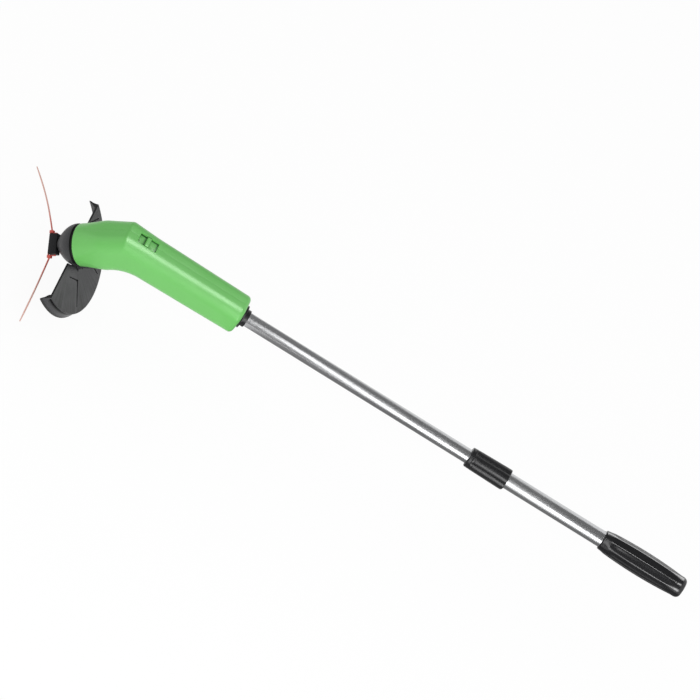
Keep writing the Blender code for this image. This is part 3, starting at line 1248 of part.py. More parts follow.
def main():
    builder = Builder()
    build_housing(builder)
    build_nose(builder)
    build_motor(builder)
    build_guard(builder)
    build_cutter(builder)
    build_switch(builder)
    build_tray(builder)
    build_cells(builder)
    build_wires(builder)
    build_neck(builder)
    build_tubes(builder)
    build_collar(builder)
    build_grip(builder)


main()
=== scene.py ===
"""Looks of the handheld grass trimmer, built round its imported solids.

Every outside piece is drawn again with fine edges and stands exactly where its solid is. Lengths are
millimetres in one of five sets of axes, and a draft puts them into the model's metres:

knee  at the bend, X along the pole and Z on the switch side
head  at the bend, Z along the cutter's axis and X towards the guard
hub   the same, turned to where the cutter stands
pole  at the bend, Z along the pole and X down
part  a part's own, before copies of it are set on their seats
"""

import json
import logging
import math
from collections.abc import Callable, Iterable, Sequence
from dataclasses import dataclass, field
from enum import Enum

import bmesh
import bpy
from mathutils import Matrix, Vector

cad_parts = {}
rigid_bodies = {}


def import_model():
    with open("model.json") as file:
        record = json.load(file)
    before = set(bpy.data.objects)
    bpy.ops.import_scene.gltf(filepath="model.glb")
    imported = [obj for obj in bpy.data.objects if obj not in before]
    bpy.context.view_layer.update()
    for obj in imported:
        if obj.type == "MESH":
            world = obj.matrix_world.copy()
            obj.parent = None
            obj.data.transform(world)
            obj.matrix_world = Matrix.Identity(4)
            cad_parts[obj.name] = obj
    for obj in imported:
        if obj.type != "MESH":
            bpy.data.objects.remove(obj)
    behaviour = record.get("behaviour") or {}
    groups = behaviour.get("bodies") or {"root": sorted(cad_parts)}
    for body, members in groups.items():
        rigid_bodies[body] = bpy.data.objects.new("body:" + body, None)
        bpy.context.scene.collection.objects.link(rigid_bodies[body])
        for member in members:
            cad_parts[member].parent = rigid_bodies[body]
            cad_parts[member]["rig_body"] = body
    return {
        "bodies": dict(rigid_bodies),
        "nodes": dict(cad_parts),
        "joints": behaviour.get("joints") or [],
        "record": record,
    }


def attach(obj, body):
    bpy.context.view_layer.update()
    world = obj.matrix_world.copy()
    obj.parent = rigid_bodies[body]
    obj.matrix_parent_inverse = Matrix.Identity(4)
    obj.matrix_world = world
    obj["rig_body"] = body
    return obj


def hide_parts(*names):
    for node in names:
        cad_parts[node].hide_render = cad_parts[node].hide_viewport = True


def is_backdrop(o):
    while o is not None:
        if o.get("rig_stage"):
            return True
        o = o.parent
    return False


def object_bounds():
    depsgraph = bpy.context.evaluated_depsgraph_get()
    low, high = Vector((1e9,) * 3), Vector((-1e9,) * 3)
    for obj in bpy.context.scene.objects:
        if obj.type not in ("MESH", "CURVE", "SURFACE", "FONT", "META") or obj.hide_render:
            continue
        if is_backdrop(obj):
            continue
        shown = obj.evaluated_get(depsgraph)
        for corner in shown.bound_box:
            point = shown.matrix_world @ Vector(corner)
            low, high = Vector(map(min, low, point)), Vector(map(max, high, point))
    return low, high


LOG = logging.getLogger("trimmer")
# Name of the attribute that holds the painted shade of each face corner
SHADE_ATTRIBUTE = "painted_shade"
MM = 0.001
TAU = 2 * math.pi
BEND = math.radians(44.0)
HUB_TURN = math.radians(54.6)
SHARP_EDGE = math.radians(40.0)
KNEE_PLACE = -0.661
X_AXIS, Y_AXIS, Z_AXIS = (Vector(row) for row in Matrix.Identity(3))

# Millimetres: the room between pieces, how far a cutter reaches past a piece, and the guard's screws
GAP = 0.3
OVERSHOOT = 40.0
PILOT_RADIUS = 1.4
GUARD_SCREW_FORWARD = 43.3
GUARD_SCREW_SIDES = (-6.0, 6.0)

Colour = tuple[float, float, float, float]
Flat = tuple[float, float]
Line = tuple[Flat, ...]
Row = tuple[float, ...]
Ring = Sequence[Vector]
Socket = bpy.types.NodeSocket
Thing = bpy.types.Object
Material = bpy.types.Material
Tree = bpy.types.NodeTree
Inputs = dict[str | int, object]


class Slot(Enum):
    """The record's material slots."""

    GREEN = "green_plastic"
    BLACK = "black_plastic"
    GREY = "dark_grey_plastic"
    STEEL = "stainless_steel"
    ZINC = "zinc_steel"
    BRASS = "brass"
    COPPER = "copper"
    FERRITE = "ferrite"
    RED_NYLON = "red_nylon"
    CELL = "cell_sleeve"
    RED_LEAD = "red_wire"
    BLACK_LEAD = "black_wire"


class Body(Enum):
    """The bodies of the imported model."""

    POLE = "handle_pole"
    COLLAR = "collar"
    CUTTER = "cutter"
    SWITCH = "switch"
    DOOR = "door"
    HEAD = "head"


class Joining(Enum):
    """How one solid meets another."""

    CUT = "DIFFERENCE"
    ADD = "UNION"
    KEEP = "INTERSECT"


def axes_matrix(x_axis: Vector, z_axis: Vector) -> Matrix:
    """Turns a pair of directions into axes.

    Args:
        x_axis: The local X direction.
        z_axis: The local Z direction.

    Returns:
        The turning matrix.
    """
    return Matrix((x_axis, z_axis.cross(x_axis), z_axis)).transposed().to_4x4()


def knee_axes() -> Matrix:
    """The axes at the bend, in millimetres."""
    return Matrix.Translation((KNEE_PLACE, 0, 0)) @ Matrix.Scale(MM, 4)


def head_axes() -> Matrix:
    """The axes along the cutter's shaft."""
    towards_guard = Vector((math.sin(BEND), 0, -math.cos(BEND)))
    forward = Vector((-math.cos(BEND), 0, -math.sin(BEND)))
    return knee_axes() @ axes_matrix(towards_guard, forward)


class Axes(Enum):
    """The five sets of axes that the pieces are drawn in."""

    KNEE = "knee"
    HEAD = "head"
    HUB = "hub"
    POLE = "pole"
    PART = "part"

    @property
    def matrix(self) -> Matrix:
        """From these axes' millimetres to the model's metres."""
        if self is Axes.PART:
            return Matrix.Scale(MM, 4)
        if self is Axes.KNEE:
            return knee_axes()
        if self is Axes.HEAD:
            return head_axes()
        if self is Axes.HUB:
            return head_axes() @ Matrix.Rotation(HUB_TURN, 4, "Z")
        return knee_axes() @ axes_matrix(-Z_AXIS, X_AXIS)


def mix(a: float, b: float, share: float) -> float:
    """The value a share of the way from a to b."""
    return a + (b - a) * share


def full_turn(steps: int) -> list[float]:
    """Angles round a full turn, in equal steps."""
    return [TAU * step / steps for step in range(steps)]


def quarter_turn(steps: int) -> list[float]:
    """Angles from zero to a right angle, in equal steps."""
    return [math.pi / 2 * step / steps for step in range(steps + 1)]


def rectangle(first: Flat, opposite: Flat) -> list[Flat]:
    """The corners of a flat rectangle, in turn from the first one."""
    return [first, (opposite[0], first[1]), opposite, (first[0], opposite[1])]


def swung(section: Iterable[Flat], angle: float) -> Ring:
    """Swings a section of (radius, height) points about Z to an angle."""
    return [Vector((r * math.cos(angle), r * math.sin(angle), z)) for r, z in section]


def linear(red: int, green: int, blue: int) -> Colour:
    """Turns screen values from 0 to 255 into a linear colour."""
    parts = [value / 255 for value in (red, green, blue)]
    lit = [p / 12.92 if p <= 0.04045 else ((p + 0.055) / 1.055) ** 2.4 for p in parts]
    return (*lit, 1.0)


def rounded(points: Sequence[Flat], radius: float, steps: int = 4) -> list[Flat]:
    """Rounds every corner of a closed flat outline.

    Args:
        points: The outline's corners.
        radius: How far from a corner the rounding starts, at most.
        steps: Points along each rounding, less one.

    Returns:
        The outline with rounded corners.
    """
    result = []
    count = len(points)
    for index, corner in enumerate(points):
        middle = Vector(corner)
        ends = []
        for other in (points[index - 1], points[(index + 1) % count]):
            along = Vector(other) - middle
            reach = min(radius, along.length * 0.45)
            ends.append(middle + along.normalized() * reach)
        for step in range(steps + 1):
            t = step / steps
            place = ends[0] * (1 - t) ** 2 + middle * (2 * t * (1 - t)) + ends[1] * t**2
            result.append((place.x, place.y))
    return result


def linked(name: str, data: bpy.types.ID) -> Thing:
    """Makes an object of the scene.

    Args:
        name: Its name.
        data: Its mesh, lamp or camera.

    Returns:
        The object.
    """
    thing = bpy.data.objects.new(name, data)
    bpy.context.scene.collection.objects.link(thing)
    return thing


def from_shape(name: str, shape: bmesh.types.BMesh) -> Thing:
    """Makes an object of a drawn shape, which is used up.

    Args:
        name: The object's name.
        shape: The shape.

    Returns:
        The object.
    """
    mesh = bpy.data.meshes.new(name)
    shape.to_mesh(mesh)
    shape.free()
    return linked(name, mesh)


def from_points(name: str, points: Iterable[Sequence[float]], edges: Iterable[Sequence[int]] = (),
                faces: Iterable[Sequence[int]] = ()) -> Thing:
    """Makes an object from lists.

    Args:
        name: The object's name.
        points: Its points.
        edges: The numbers of the two points of each edge.
        faces: The numbers of the points round each face.

    Returns:
        The object.
    """
    mesh = bpy.data.meshes.new(name)
    mesh.from_pydata([tuple(point) for point in points], list(edges), list(faces))
    return linked(name, mesh)


def discard(thing: Thing) -> None:
    """Removes an object and its mesh."""
    mesh = thing.data
    bpy.data.objects.remove(thing)
    bpy.data.meshes.remove(mesh)


class Draft:
    """A mesh being drawn in the millimetres of one set of axes."""

    def __init__(self) -> None:
        """Starts an empty mesh."""
        self.mesh = bmesh.new()

    def loft(self, rings: Sequence[Ring], caps: bool = True) -> "Draft":
        """Draws a skin through rings of equal point counts.

        Args:
            rings: The rings, in order.
            caps: Whether flat faces close the two ends, or else the last ring joins the first.

        Returns:
            This draft.
        """
        rows = [[self.mesh.verts.new(point) for point in ring] for ring in rings]
        for near, far in zip(rows, rows[1:] if caps else rows[1:] + rows[:1]):
            for i in range(len(near)):
                j = (i + 1) % len(near)
                self.mesh.faces.new((near[i], near[j], far[j], far[i]))
        if caps:
            self.mesh.faces.new(rows[0])
            self.mesh.faces.new(reversed(rows[-1]))
        return self

    def turned(self, profile: Sequence[Flat], steps: int, start: float = 0.0) -> "Draft":
        """Turns a closed outline of (radius, height) points, none on the axis, about Z."""
        return self.loft([swung(profile, start + angle) for angle in full_turn(steps)], caps=False)

    def box(self, corner: Sequence[float], opposite: Sequence[float]) -> "Draft":
        """Draws a box between two opposite corners."""
        low, high = Vector(corner), Vector(opposite)
        size = Vector([abs(length) for length in high - low])
        matrix = Matrix.Translation((low + high) / 2) @ Matrix.Diagonal((*size, 1.0))
        bmesh.ops.create_cube(self.mesh, size=1.0, matrix=matrix)
        return self

    def rod(self, start: Sequence[float], end: Sequence[float], radius: float, steps: int) -> "Draft":
        """Draws a round bar.

        Args:
            start: Middle of the first end.
            end: Middle of the other end.
            radius: Its radius.
            steps: Divisions round it.

        Returns:
            This draft.
        """
        first, last = Vector(start), Vector(end)
        along = last - first
        turn = Z_AXIS.rotation_difference(along).to_matrix().to_4x4()
        bmesh.ops.create_cone(
            self.mesh, cap_ends=True, segments=steps, radius1=radius, radius2=radius, depth=along.length,
            matrix=Matrix.Translation((first + last) / 2) @ turn)
        return self

    def prism(self, outline: Sequence[Vector], lift: Vector, flare: float = 0.0) -> "Draft":
        """Extrudes a closed flat outline.

        Args:
            outline: The outline's corners.
            lift: How far and which way it goes.
            flare: How far the far end stands out from its middle, beyond the outline.

        Returns:
            This draft.
        """
        middle = sum(outline, Vector()) / len(outline)
        far = [point + lift + (point - middle).normalized() * flare for point in outline]
        return self.loft([outline, far])

    def slab(self, side_view: Iterable[Flat], half: float) -> "Draft":
        """Extrudes a side view of (x, z) points across Y, half its width to each side of the middle."""
        return self.prism([Vector((x, -half, z)) for x, z in side_view], Vector((0, 2 * half, 0)))

    def place(self, name: str, axes: Axes) -> Thing:
        """Makes the drawn mesh an object of the scene.

        Args:
            name: The object's name.
            axes: The axes it was drawn in.

        Returns:
            The object, at the origin, with its place in its mesh.
        """
        bmesh.ops.remove_doubles(self.mesh, verts=self.mesh.verts, dist=1e-5)
        bmesh.ops.recalc_face_normals(self.mesh, faces=self.mesh.faces)
        bmesh.ops.transform(self.mesh, matrix=axes.matrix, verts=self.mesh.verts)
        return from_shape(name, self.mesh)


def settle(thing: Thing) -> Thing:
    """Turns an object and its live modifiers into a plain mesh.

    Args:
        thing: The object.

    Returns:
        The same object, with no modifier left.
    """
    bpy.context.view_layer.update()
    graph = bpy.context.evaluated_depsgraph_get()
    mesh = bpy.data.meshes.new_from_object(thing.evaluated_get(graph), depsgraph=graph)
    old = thing.data
    thing.modifiers.clear()
    thing.data = mesh
    bpy.data.meshes.remove(old)
    return thing


def combine(thing: Thing, others: Sequence[Thing], how: Joining = Joining.CUT) -> Thing:
    """Joins, cuts or limits an object by others, which are used up.

    Args:
        thing: The object that changes.
        others: The objects that it meets, one after the other.
        how: The kind of joining.

    Returns:
        The same object as a plain mesh.
    """
    for other in others:
        modifier = thing.modifiers.new(other.name, "BOOLEAN")
        modifier.operation = how.value
        modifier.solver = "EXACT"
        modifier.object = other
    settle(thing)
    for other in others:
        discard(other)
    return thing


def soften(thing: Thing, width: float, segments: int) -> Thing:
    """Rounds the sharp edges of an object.

    Args:
        thing: The object.
        width: Width of the rounding in millimetres.
        segments: Faces across the rounding.

    Returns:
        The same object as a plain mesh.
    """
    modifier = thing.modifiers.new("edges", "BEVEL")
    modifier.width = width * MM
    modifier.segments = segments
    modifier.limit_method = "ANGLE"
    modifier.angle_limit = SHARP_EDGE
    return settle(thing)


def stain(thing: Thing, axes: Axes, rule: Callable[[Vector, Vector], float]) -> None:
    """Marks how much painted shade each corner of each face gets, which the mouldings' colour reads.

    Args:
        thing: The object.
        axes: The axes, in millimetres, that the rule is written in.
        rule: Gives the share for a point and its face's normal.
    """
    back = axes.matrix.inverted()
    turn = back.to_3x3().normalized()
    mesh = thing.data
    shares = [0.0] * len(mesh.loops)
    for face in mesh.polygons:
        normal = (turn @ face.normal).normalized()
        for loop in face.loop_indices:
            shares[loop] = rule(back @ mesh.vertices[mesh.loops[loop].vertex_index].co, normal)
    marks = mesh.attributes.new(SHADE_ATTRIBUTE, "FLOAT", "CORNER")
    marks.data.foreach_set("value", shares)


def slice_mesh(thing: Thing, axes: Axes, cuts: Iterable[tuple[Vector, Vector]]) -> None:
    """Adds edges to an object where planes cross it, so that the painted shade can change there.

    Args:
        thing: The object.
        axes: The axes that the planes are given in.
        cuts: A point on each plane and its normal.
    """
    sheet = bmesh.new()
    sheet.from_mesh(thing.data)
    sheet.transform(axes.matrix.inverted())
    for point, normal in cuts:
        everything = [*sheet.verts, *sheet.edges, *sheet.faces]
        bmesh.ops.bisect_plane(sheet, geom=everything, dist=1e-4, plane_co=point, plane_no=normal)
    sheet.transform(axes.matrix)
    sheet.to_mesh(thing.data)
    sheet.free()


def merged(things: Sequence[Thing], name: str) -> Thing:
    """Puts several objects' meshes into one object.

    Args:
        things: The objects, which are used up.
        name: Name of the new object.

    Returns:
        The new object.
    """
    shape = bmesh.new()
    for thing in things:
        shape.from_mesh(thing.data)
        discard(thing)
    return from_shape(name, shape)


# Node trees


class NodeSheet:
    """Lays out one node tree: it adds nodes, sets their values and joins their sockets."""

    def __init__(self, tree: Tree) -> None:
        """Takes the tree to work on."""
        self.tree = tree

    @classmethod
    def emptied(cls, owner: bpy.types.ID) -> "NodeSheet":
        """The sheet of a new material or world, without the nodes that it starts with."""
        owner.use_nodes = True
        owner.node_tree.nodes.clear()
        return cls(owner.node_tree)

    def add(self, kind: str, inputs: Inputs | None = None, **options: object) -> bpy.types.Node:
        """Adds a node.

        Args:
            kind: Blender's name for the kind of node.
            inputs: Values, or sockets to join, by input name or number.
            options: Settings of the node itself.

        Returns:
            The node.
        """
        node = self.tree.nodes.new(kind)
        for name, value in options.items():
            setattr(node, name, value)
        for key, value in (inputs or {}).items():
            if isinstance(value, bpy.types.NodeSocket):
                self.tree.links.new(value, node.inputs[key])
            else:
                node.inputs[key].default_value = value
        return node

    def math(self, operation: str, a: object, b: object = 0.0, clamp: bool = False) -> Socket:
        """One step of arithmetic.

        Args:
            operation: Blender's name for it.
            a: First number or socket.
            b: Second number or socket.
            clamp: Whether the result is kept between 0 and 1.

        Returns:
            The result's socket.
        """
        node = self.add("ShaderNodeMath", {0: a, 1: b}, operation=operation, use_clamp=clamp)
        return node.outputs[0]

    def plus(self, a: object, b: object) -> Socket:
        """The sum of two numbers or sockets."""
        return self.math("ADD", a, b)

    def minus(self, a: object, b: object) -> Socket:
        """The first number or socket less the second."""
        return self.math("SUBTRACT", a, b)

    def times(self, a: object, b: object) -> Socket:
        """The product of two numbers or sockets."""
        return self.math("MULTIPLY", a, b)

    def ramp(self, value: object, low: object, high: object, start: float = 0.0, end: float = 1.0) -> Socket:
        """Follows a smooth step from one value to another.

        Args:
            value: What is followed.
            low: Where the step begins.
            high: Where the step ends.
            start: Result before the step.
            end: Result after it.

        Returns:
            The result's socket.
        """
        inputs = {"Value": value, "From Min": low, "From Max": high, "To Min": start, "To Max": end}
        return self.add("ShaderNodeMapRange", inputs, interpolation_type="SMOOTHSTEP").outputs["Result"]

    def blend(self, share: object, first: object, second: object) -> Socket:
        """A colour between two others.

        Args:
            share: How much of the second shows.
            first: First colour.
            second: Second colour.

        Returns:
            The colour's socket.
        """
        node = self.add("ShaderNodeMix", {0: share, 6: first, 7: second}, data_type="RGBA")
        return node.outputs[2]

    def noise(self, place: Socket, scale: object, detail: float = 3.0, roughness: float = 0.5) -> Socket:
        """Cloudy noise.

        Args:
            place: Coordinates.
            scale: How fine it is, per metre.
            detail: How many finer layers it has.
            roughness: How strong those are.

        Returns:
            The noise value's socket.
        """
        inputs = {"Vector": place, "Scale": scale, "Detail": detail, "Roughness": roughness}
        return self.add("ShaderNodeTexNoise", inputs).outputs[0]


SOCKET_KINDS = {float: "NodeSocketFloat", int: "NodeSocketInt"}
Given = bpy.types.bpy_prop_collection
Drawing = Callable[[NodeSheet, Given], Socket]


def new_group(name: str, kind: str, takes: dict[str, object],
              gives: dict[str, str]) -> tuple[NodeSheet, bpy.types.Node]:
    """Starts a node group with named sockets.

    Args:
        name: The group's name.
        kind: The kind of tree.
        takes: Inputs: a default number, or the name of a socket kind.
        gives: Outputs and the name of their socket kind.

    Returns:
        The sheet to draw on and the node that holds the inputs.
    """
    tree = bpy.data.node_groups.new(name, kind)
    for label, value in takes.items():
        wanted = value if isinstance(value, str) else SOCKET_KINDS[type(value)]
        socket = tree.interface.new_socket(label, in_out="INPUT", socket_type=wanted)
        if not isinstance(value, str):
            socket.default_value = value
    for label, wanted in gives.items():
        tree.interface.new_socket(label, in_out="OUTPUT", socket_type=wanted)
    sheet = NodeSheet(tree)
    return sheet, sheet.add("NodeGroupInput")


@dataclass
class Recipe:
    """A node group with the name of the function that draws it, which this decorates.

    The function takes the group's sheet and inputs, and returns the socket of what the group gives.
    """

    takes: dict[str, object]

    def __call__(self, draw: Drawing) -> "Recipe":
        """Takes the function."""
        self.draw = draw
        return self

    def group(self) -> Tree:
        """The node group, which is built the first time it is asked for."""
        name = self.draw.__name__
        return bpy.data.node_groups.get(name) or self.built(name)

    def built(self, name: str) -> Tree:
        """Builds the group with that name."""
        raise NotImplementedError


@dataclass
class Effect(Recipe):
    """A surface effect that several finishes share."""

    result: str
    kind: str = "NodeSocketFloat"

    def built(self, name: str) -> Tree:
        """Builds a shader node group whose first input is the place."""
        takes = {"Place": "NodeSocketVector", **self.takes}
        sheet, given = new_group(name, "ShaderNodeTree", takes, {self.result: self.kind})
        sheet.add("NodeGroupOutput", {self.result: self.draw(sheet, given.outputs)})
        return sheet.tree


@Effect({"Fineness": 2500.0}, "Height")
def moulded_grain(sheet: NodeSheet, given: Given) -> Socket:
    """Fine moulded or blasted grain, as a height."""
    fine = sheet.noise(given["Place"], given["Fineness"], 2.0, 0.6)
    coarse = sheet.noise(given["Place"], sheet.times(given["Fineness"], 0.13))
    return sheet.plus(sheet.times(fine, 0.7), sheet.times(coarse, 0.6))


@Effect({"Colour": "NodeSocketColor", "Size": 14.0, "Amount": 0.08}, "Colour", "NodeSocketColor")
def colour_drift(sheet: NodeSheet, given: Given) -> Socket:
    """Slow, cloudy change of a colour."""
    cloud = sheet.noise(given["Place"], given["Size"], 4.0, 0.6)
    swing = sheet.times(sheet.minus(cloud, 0.5), given["Amount"])
    value = sheet.plus(1.0, sheet.times(swing, 2.0))
    tone = sheet.plus(0.5, sheet.times(swing, 0.06))
    inputs = {"Hue": tone, "Value": value, "Color": given["Colour"]}
    return sheet.add("ShaderNodeHueSaturation", inputs).outputs[0]


@Effect({"Amount": 0.5}, "Mask")
def edge_rub(sheet: NodeSheet, given: Given) -> Socket:
    """Where edges are rubbed by handling, as a mask."""
    sharp = sheet.ramp(sheet.add("ShaderNodeNewGeometry").outputs["Pointiness"], 0.53, 0.60)
    patchy = sheet.ramp(sheet.noise(given["Place"], 160.0, 4.0, 0.65), 0.35, 0.7)
    return sheet.math("MULTIPLY", sheet.times(sharp, patchy), given["Amount"], clamp=True)


# Painted shade: corners and recesses are darkened by their ambient occlusion
@Effect({"Reach": 0.002, "Amount": 0.8}, "Mask")
def recess_grime(sheet: NodeSheet, given: Given) -> Socket:
    """Painted shade in corners and recesses, from their ambient occlusion broken up by noise, as a mask."""
    open_sky = sheet.add("ShaderNodeAmbientOcclusion", {"Distance": given["Reach"]}, samples=8)
    deep = sheet.ramp(open_sky.outputs["AO"], 0.35, 0.85, 1.0, 0.0)
    patchy = sheet.ramp(sheet.noise(given["Place"], 220.0, 3.0), 0.2, 0.8, 0.75, 1.0)
    return sheet.math("MULTIPLY", sheet.times(deep, patchy), given["Amount"], clamp=True)


@Effect({"Smooth": 0.3, "Rough": 0.45, "Size": 30.0}, "Roughness")
def handling_marks(sheet: NodeSheet, given: Given) -> Socket:
    """Uneven gloss left by moulding and by hands, as a roughness."""
    cloud = sheet.noise(given["Place"], given["Size"], 5.0, 0.6)
    specks = sheet.ramp(sheet.noise(given["Place"], 900.0, 2.0), 0.62, 0.75, 0.0, 0.25)
    share = sheet.math("ADD", sheet.ramp(cloud, 0.3, 0.7), specks, clamp=True)
    spread = sheet.minus(given["Rough"], given["Smooth"])
    return sheet.plus(given["Smooth"], sheet.times(share, spread))


@Effect({"Fineness": 1800.0}, "Height")
def drawn_lines(sheet: NodeSheet, given: Given) -> Socket:
    """Hair-fine lines that run along the model's X axis, as drawn tube has."""
    scale = {"Vector": given["Place"], "Scale": (0.004, 1.0, 1.0)}
    pulled = sheet.add("ShaderNodeMapping", scale).outputs[0]
    return sheet.noise(pulled, given["Fineness"], 3.0, 0.7)


class Coat:
    """The nodes of one material while it is put together."""

    def __init__(self, name: str) -> None:
        """Starts a material with one Principled shader and its object coordinates."""
        self.material = bpy.data.materials.new(name)
        self.material.use_nodes = True
        self.sheet = NodeSheet(self.material.node_tree)
        self.shader = self.material.node_tree.nodes["Principled BSDF"]
        self.place = self.sheet.add("ShaderNodeTexCoord").outputs["Object"]

    def effect(self, shared: Effect, **values: object) -> Socket:
        """Puts a shared effect into the material.

        Args:
            shared: The effect.
            values: Its inputs by name.

        Returns:
            Its output.
        """
        inputs = {"Place": self.place, **values}
        return self.sheet.add("ShaderNodeGroup", inputs, node_tree=shared.group()).outputs[0]

    def join(self, name: str, value: Socket) -> None:
        """Feeds one of the shader's sockets."""
        self.sheet.tree.links.new(value, self.shader.inputs[name])

    def fix(self, **values: object) -> None:
        """Sets the shader's constants, with _ for a space in a name."""
        for name, value in values.items():
            self.shader.inputs[name.replace("_", " ")].default_value = value

    def bump(self, height: Socket, depth: float) -> None:
        """Raises the surface by a height of a depth in millimetres."""
        node = self.sheet.add("ShaderNodeBump", {"Height": height, "Distance": depth * MM, "Strength": 1.0})
        self.join("Normal", node.outputs[0])


@dataclass(frozen=True)
class Finish:
    """What every finish has: the record's slot, a colour and how it drifts, a gloss and a grain."""

    slot: Slot
    colour: Colour
    label: str = ""
    drift: float = 0.06
    drift_size: float = 14.0
    smooth: float = 0.3
    rough: float = 0.42
    gloss_size: float = 30.0
    fineness: float = 2500.0
    depth: float = 0.012
    metallic: float = 0.0
    specular: float = 0.5

    def relief(self, coat: Coat) -> Socket:
        """The height of its surface."""
        return coat.effect(moulded_grain, Fineness=self.fineness)

    def gloss(self, coat: Coat, height: Socket) -> Socket:
        """Its roughness, which a finish may take from its height."""
        return coat.effect(handling_marks, Smooth=self.smooth, Rough=self.rough, Size=self.gloss_size)

    def tint(self, coat: Coat, height: Socket) -> Socket:
        """Its colour, which a finish may take from its height."""
        return self.drifting(coat, self.colour)

    def drifting(self, coat: Coat, colour: object) -> Socket:
        """A colour or socket that changes slowly over the surface."""
        return coat.effect(colour_drift, Colour=colour, Amount=self.drift, Size=self.drift_size)

    def material(self) -> Material:
        """The finish's material, which is built the first time it is asked for."""
        name = f"{type(self).__name__.lower()}_{self.slot.value}{self.label}"
        return bpy.data.materials.get(name) or self.made(name)

    def made(self, name: str) -> Material:
        """Builds the finish.

        Args:
            name: Name of the new material.

        Returns:
            The material.
        """
        coat = Coat(name)
        height = self.relief(coat)
        coat.join("Base Color", self.tint(coat, height))
        coat.join("Roughness", self.gloss(coat, height))
        coat.bump(height, self.depth)
        coat.fix(Metallic=self.metallic, Specular_IOR_Level=self.specular)
        return coat.material


@dataclass(frozen=True)
class Moulding(Finish):
    """Moulded plastic with a fine grain, cloudy gloss, rubbed edges, and painted shade in its recesses and
    marked corners.
    """

    worn: Colour = (1.0, 1.0, 1.0, 1.0)
    # The painted shade: its colour, its strength in recesses and how far into them it reaches
    deep: Colour = (0.004, 0.004, 0.004, 1.0)
    grime: float = 0.7
    reach: float = 2.0
    wear: float = 0.4

    def tint(self, coat: Coat, height: Socket) -> Socket:
        """The drifting colour, paler where it is rubbed and darkened by painted shade where its corners are
        marked for it and in its recesses.
        """
        edge = coat.effect(edge_rub, Amount=self.wear)
        marks = coat.sheet.add("ShaderNodeAttribute", attribute_name=SHADE_ATTRIBUTE, attribute_type="GEOMETRY")
        corners = coat.effect(recess_grime, Reach=self.reach * MM, Amount=self.grime)
        shaded = coat.sheet.math("MAXIMUM", corners, marks.outputs["Fac"])
        rubbed = coat.sheet.blend(edge, self.drifting(coat, self.colour), self.worn)
        return coat.sheet.blend(shaded, rubbed, self.deep)


@dataclass(frozen=True)
class DrawnTube(Finish):
    """Bright drawn steel with lines along the tube and faint clouds of gloss."""

    drift: float = 0.05
    drift_size: float = 9.0
    gloss_size: float = 18.0
    depth: float = 0.0007
    metallic: float = 1.0

    def relief(self, coat: Coat) -> Socket:
        """The height of the drawn lines."""
        return coat.effect(drawn_lines)

    def tint(self, coat: Coat, height: Socket) -> Socket:
        """The drifting colour, duller along the higher lines."""
        dull = tuple(part * 0.86 for part in self.colour[:3]) + (1.0,)
        return coat.sheet.blend(coat.sheet.ramp(height, 0.5, 0.8), self.drifting(coat, self.colour), dull)

    def gloss(self, coat: Coat, height: Socket) -> Socket:
        """The clouds of gloss, streaked by the lines."""
        return coat.sheet.plus(super().gloss(coat, height), coat.sheet.times(height, 0.03))


@dataclass(frozen=True)
class Plated(Finish):
    """Plated, pressed or turned metal with a mottled gloss and rubbed edges."""

    edge: Colour = (0.8, 0.8, 0.82, 1.0)
    drift: float = 0.12
    drift_size: float = 120.0
    smooth: float = 0.25
    rough: float = 0.45
    gloss_size: float = 150.0
    fineness: float = 1800.0
    depth: float = 0.006
    metallic: float = 1.0

    def tint(self, coat: Coat, height: Socket) -> Socket:
        """The drifting colour, bright where its edges are rubbed."""
        return coat.sheet.blend(coat.effect(edge_rub, Amount=0.6), super().tint(coat, height), self.edge)


@dataclass(frozen=True)
class TieNylon(Finish):
    """Cable-tie nylon, which looks paler and clearer towards the thin tips of the tails."""

    tip: Colour = (0.9, 0.5, 0.35, 1.0)
    middle: tuple[float, float, float] = (0.0, 0.0, 0.0)
    near: float = 14.0
    far: float = 70.0
    drift: float = 0.08
    drift_size: float = 70.0
    smooth: float = 0.28
    gloss_size: float = 90.0
    fineness: float = 3000.0
    depth: float = 0.006

    def tint(self, coat: Coat, height: Socket) -> Socket:
        """The colour, which pales with the distance from the hub."""
        sheet = coat.sheet
        inputs = {"Vector": coat.place, "Location": [-value for value in self.middle]}
        centred = sheet.add("ShaderNodeMapping", inputs).outputs[0]
        away = sheet.add("ShaderNodeVectorMath", {0: centred}, operation="LENGTH").outputs["Value"]
        cloud = sheet.times(sheet.noise(coat.place, 90.0, 3.0), 20.0 * MM)
        share = sheet.ramp(sheet.plus(away, cloud), self.near * MM, self.far * MM)
        return self.drifting(coat, sheet.blend(share, self.colour, self.tip))


@dataclass(frozen=True)
class CellSleeve(Finish):
    """The shrunk sleeve of a cell, with a paler band at its raised end."""

    band: Colour = (0.55, 0.56, 0.58, 1.0)
    ends: Row = ()
    band_width: float = 9.0
    band_edge: float = 0.2
    drift: float = 0.05
    drift_size: float = 60.0
    smooth: float = 0.18
    rough: float = 0.34
    gloss_size: float = 60.0
    fineness: float = 260.0
    depth: float = 0.02

    def tint(self, coat: Coat, height: Socket) -> Socket:
        """The sleeve's colour with its bands."""
        sheet = coat.sheet
        along = sheet.add("ShaderNodeSeparateXYZ", {0: coat.place}).outputs["X"]
        share: object = 0.0
        for end in self.ends:
            start = end - self.band_width
            places = (start - self.band_edge, start, end, end + self.band_edge)
            edges = [place * MM + KNEE_PLACE for place in places]
            band = sheet.minus(sheet.ramp(along, *edges[:2]), sheet.ramp(along, *edges[2:]))
            share = sheet.math("ADD", share, band, clamp=True)
        return self.drifting(coat, sheet.blend(share, self.colour, self.band))


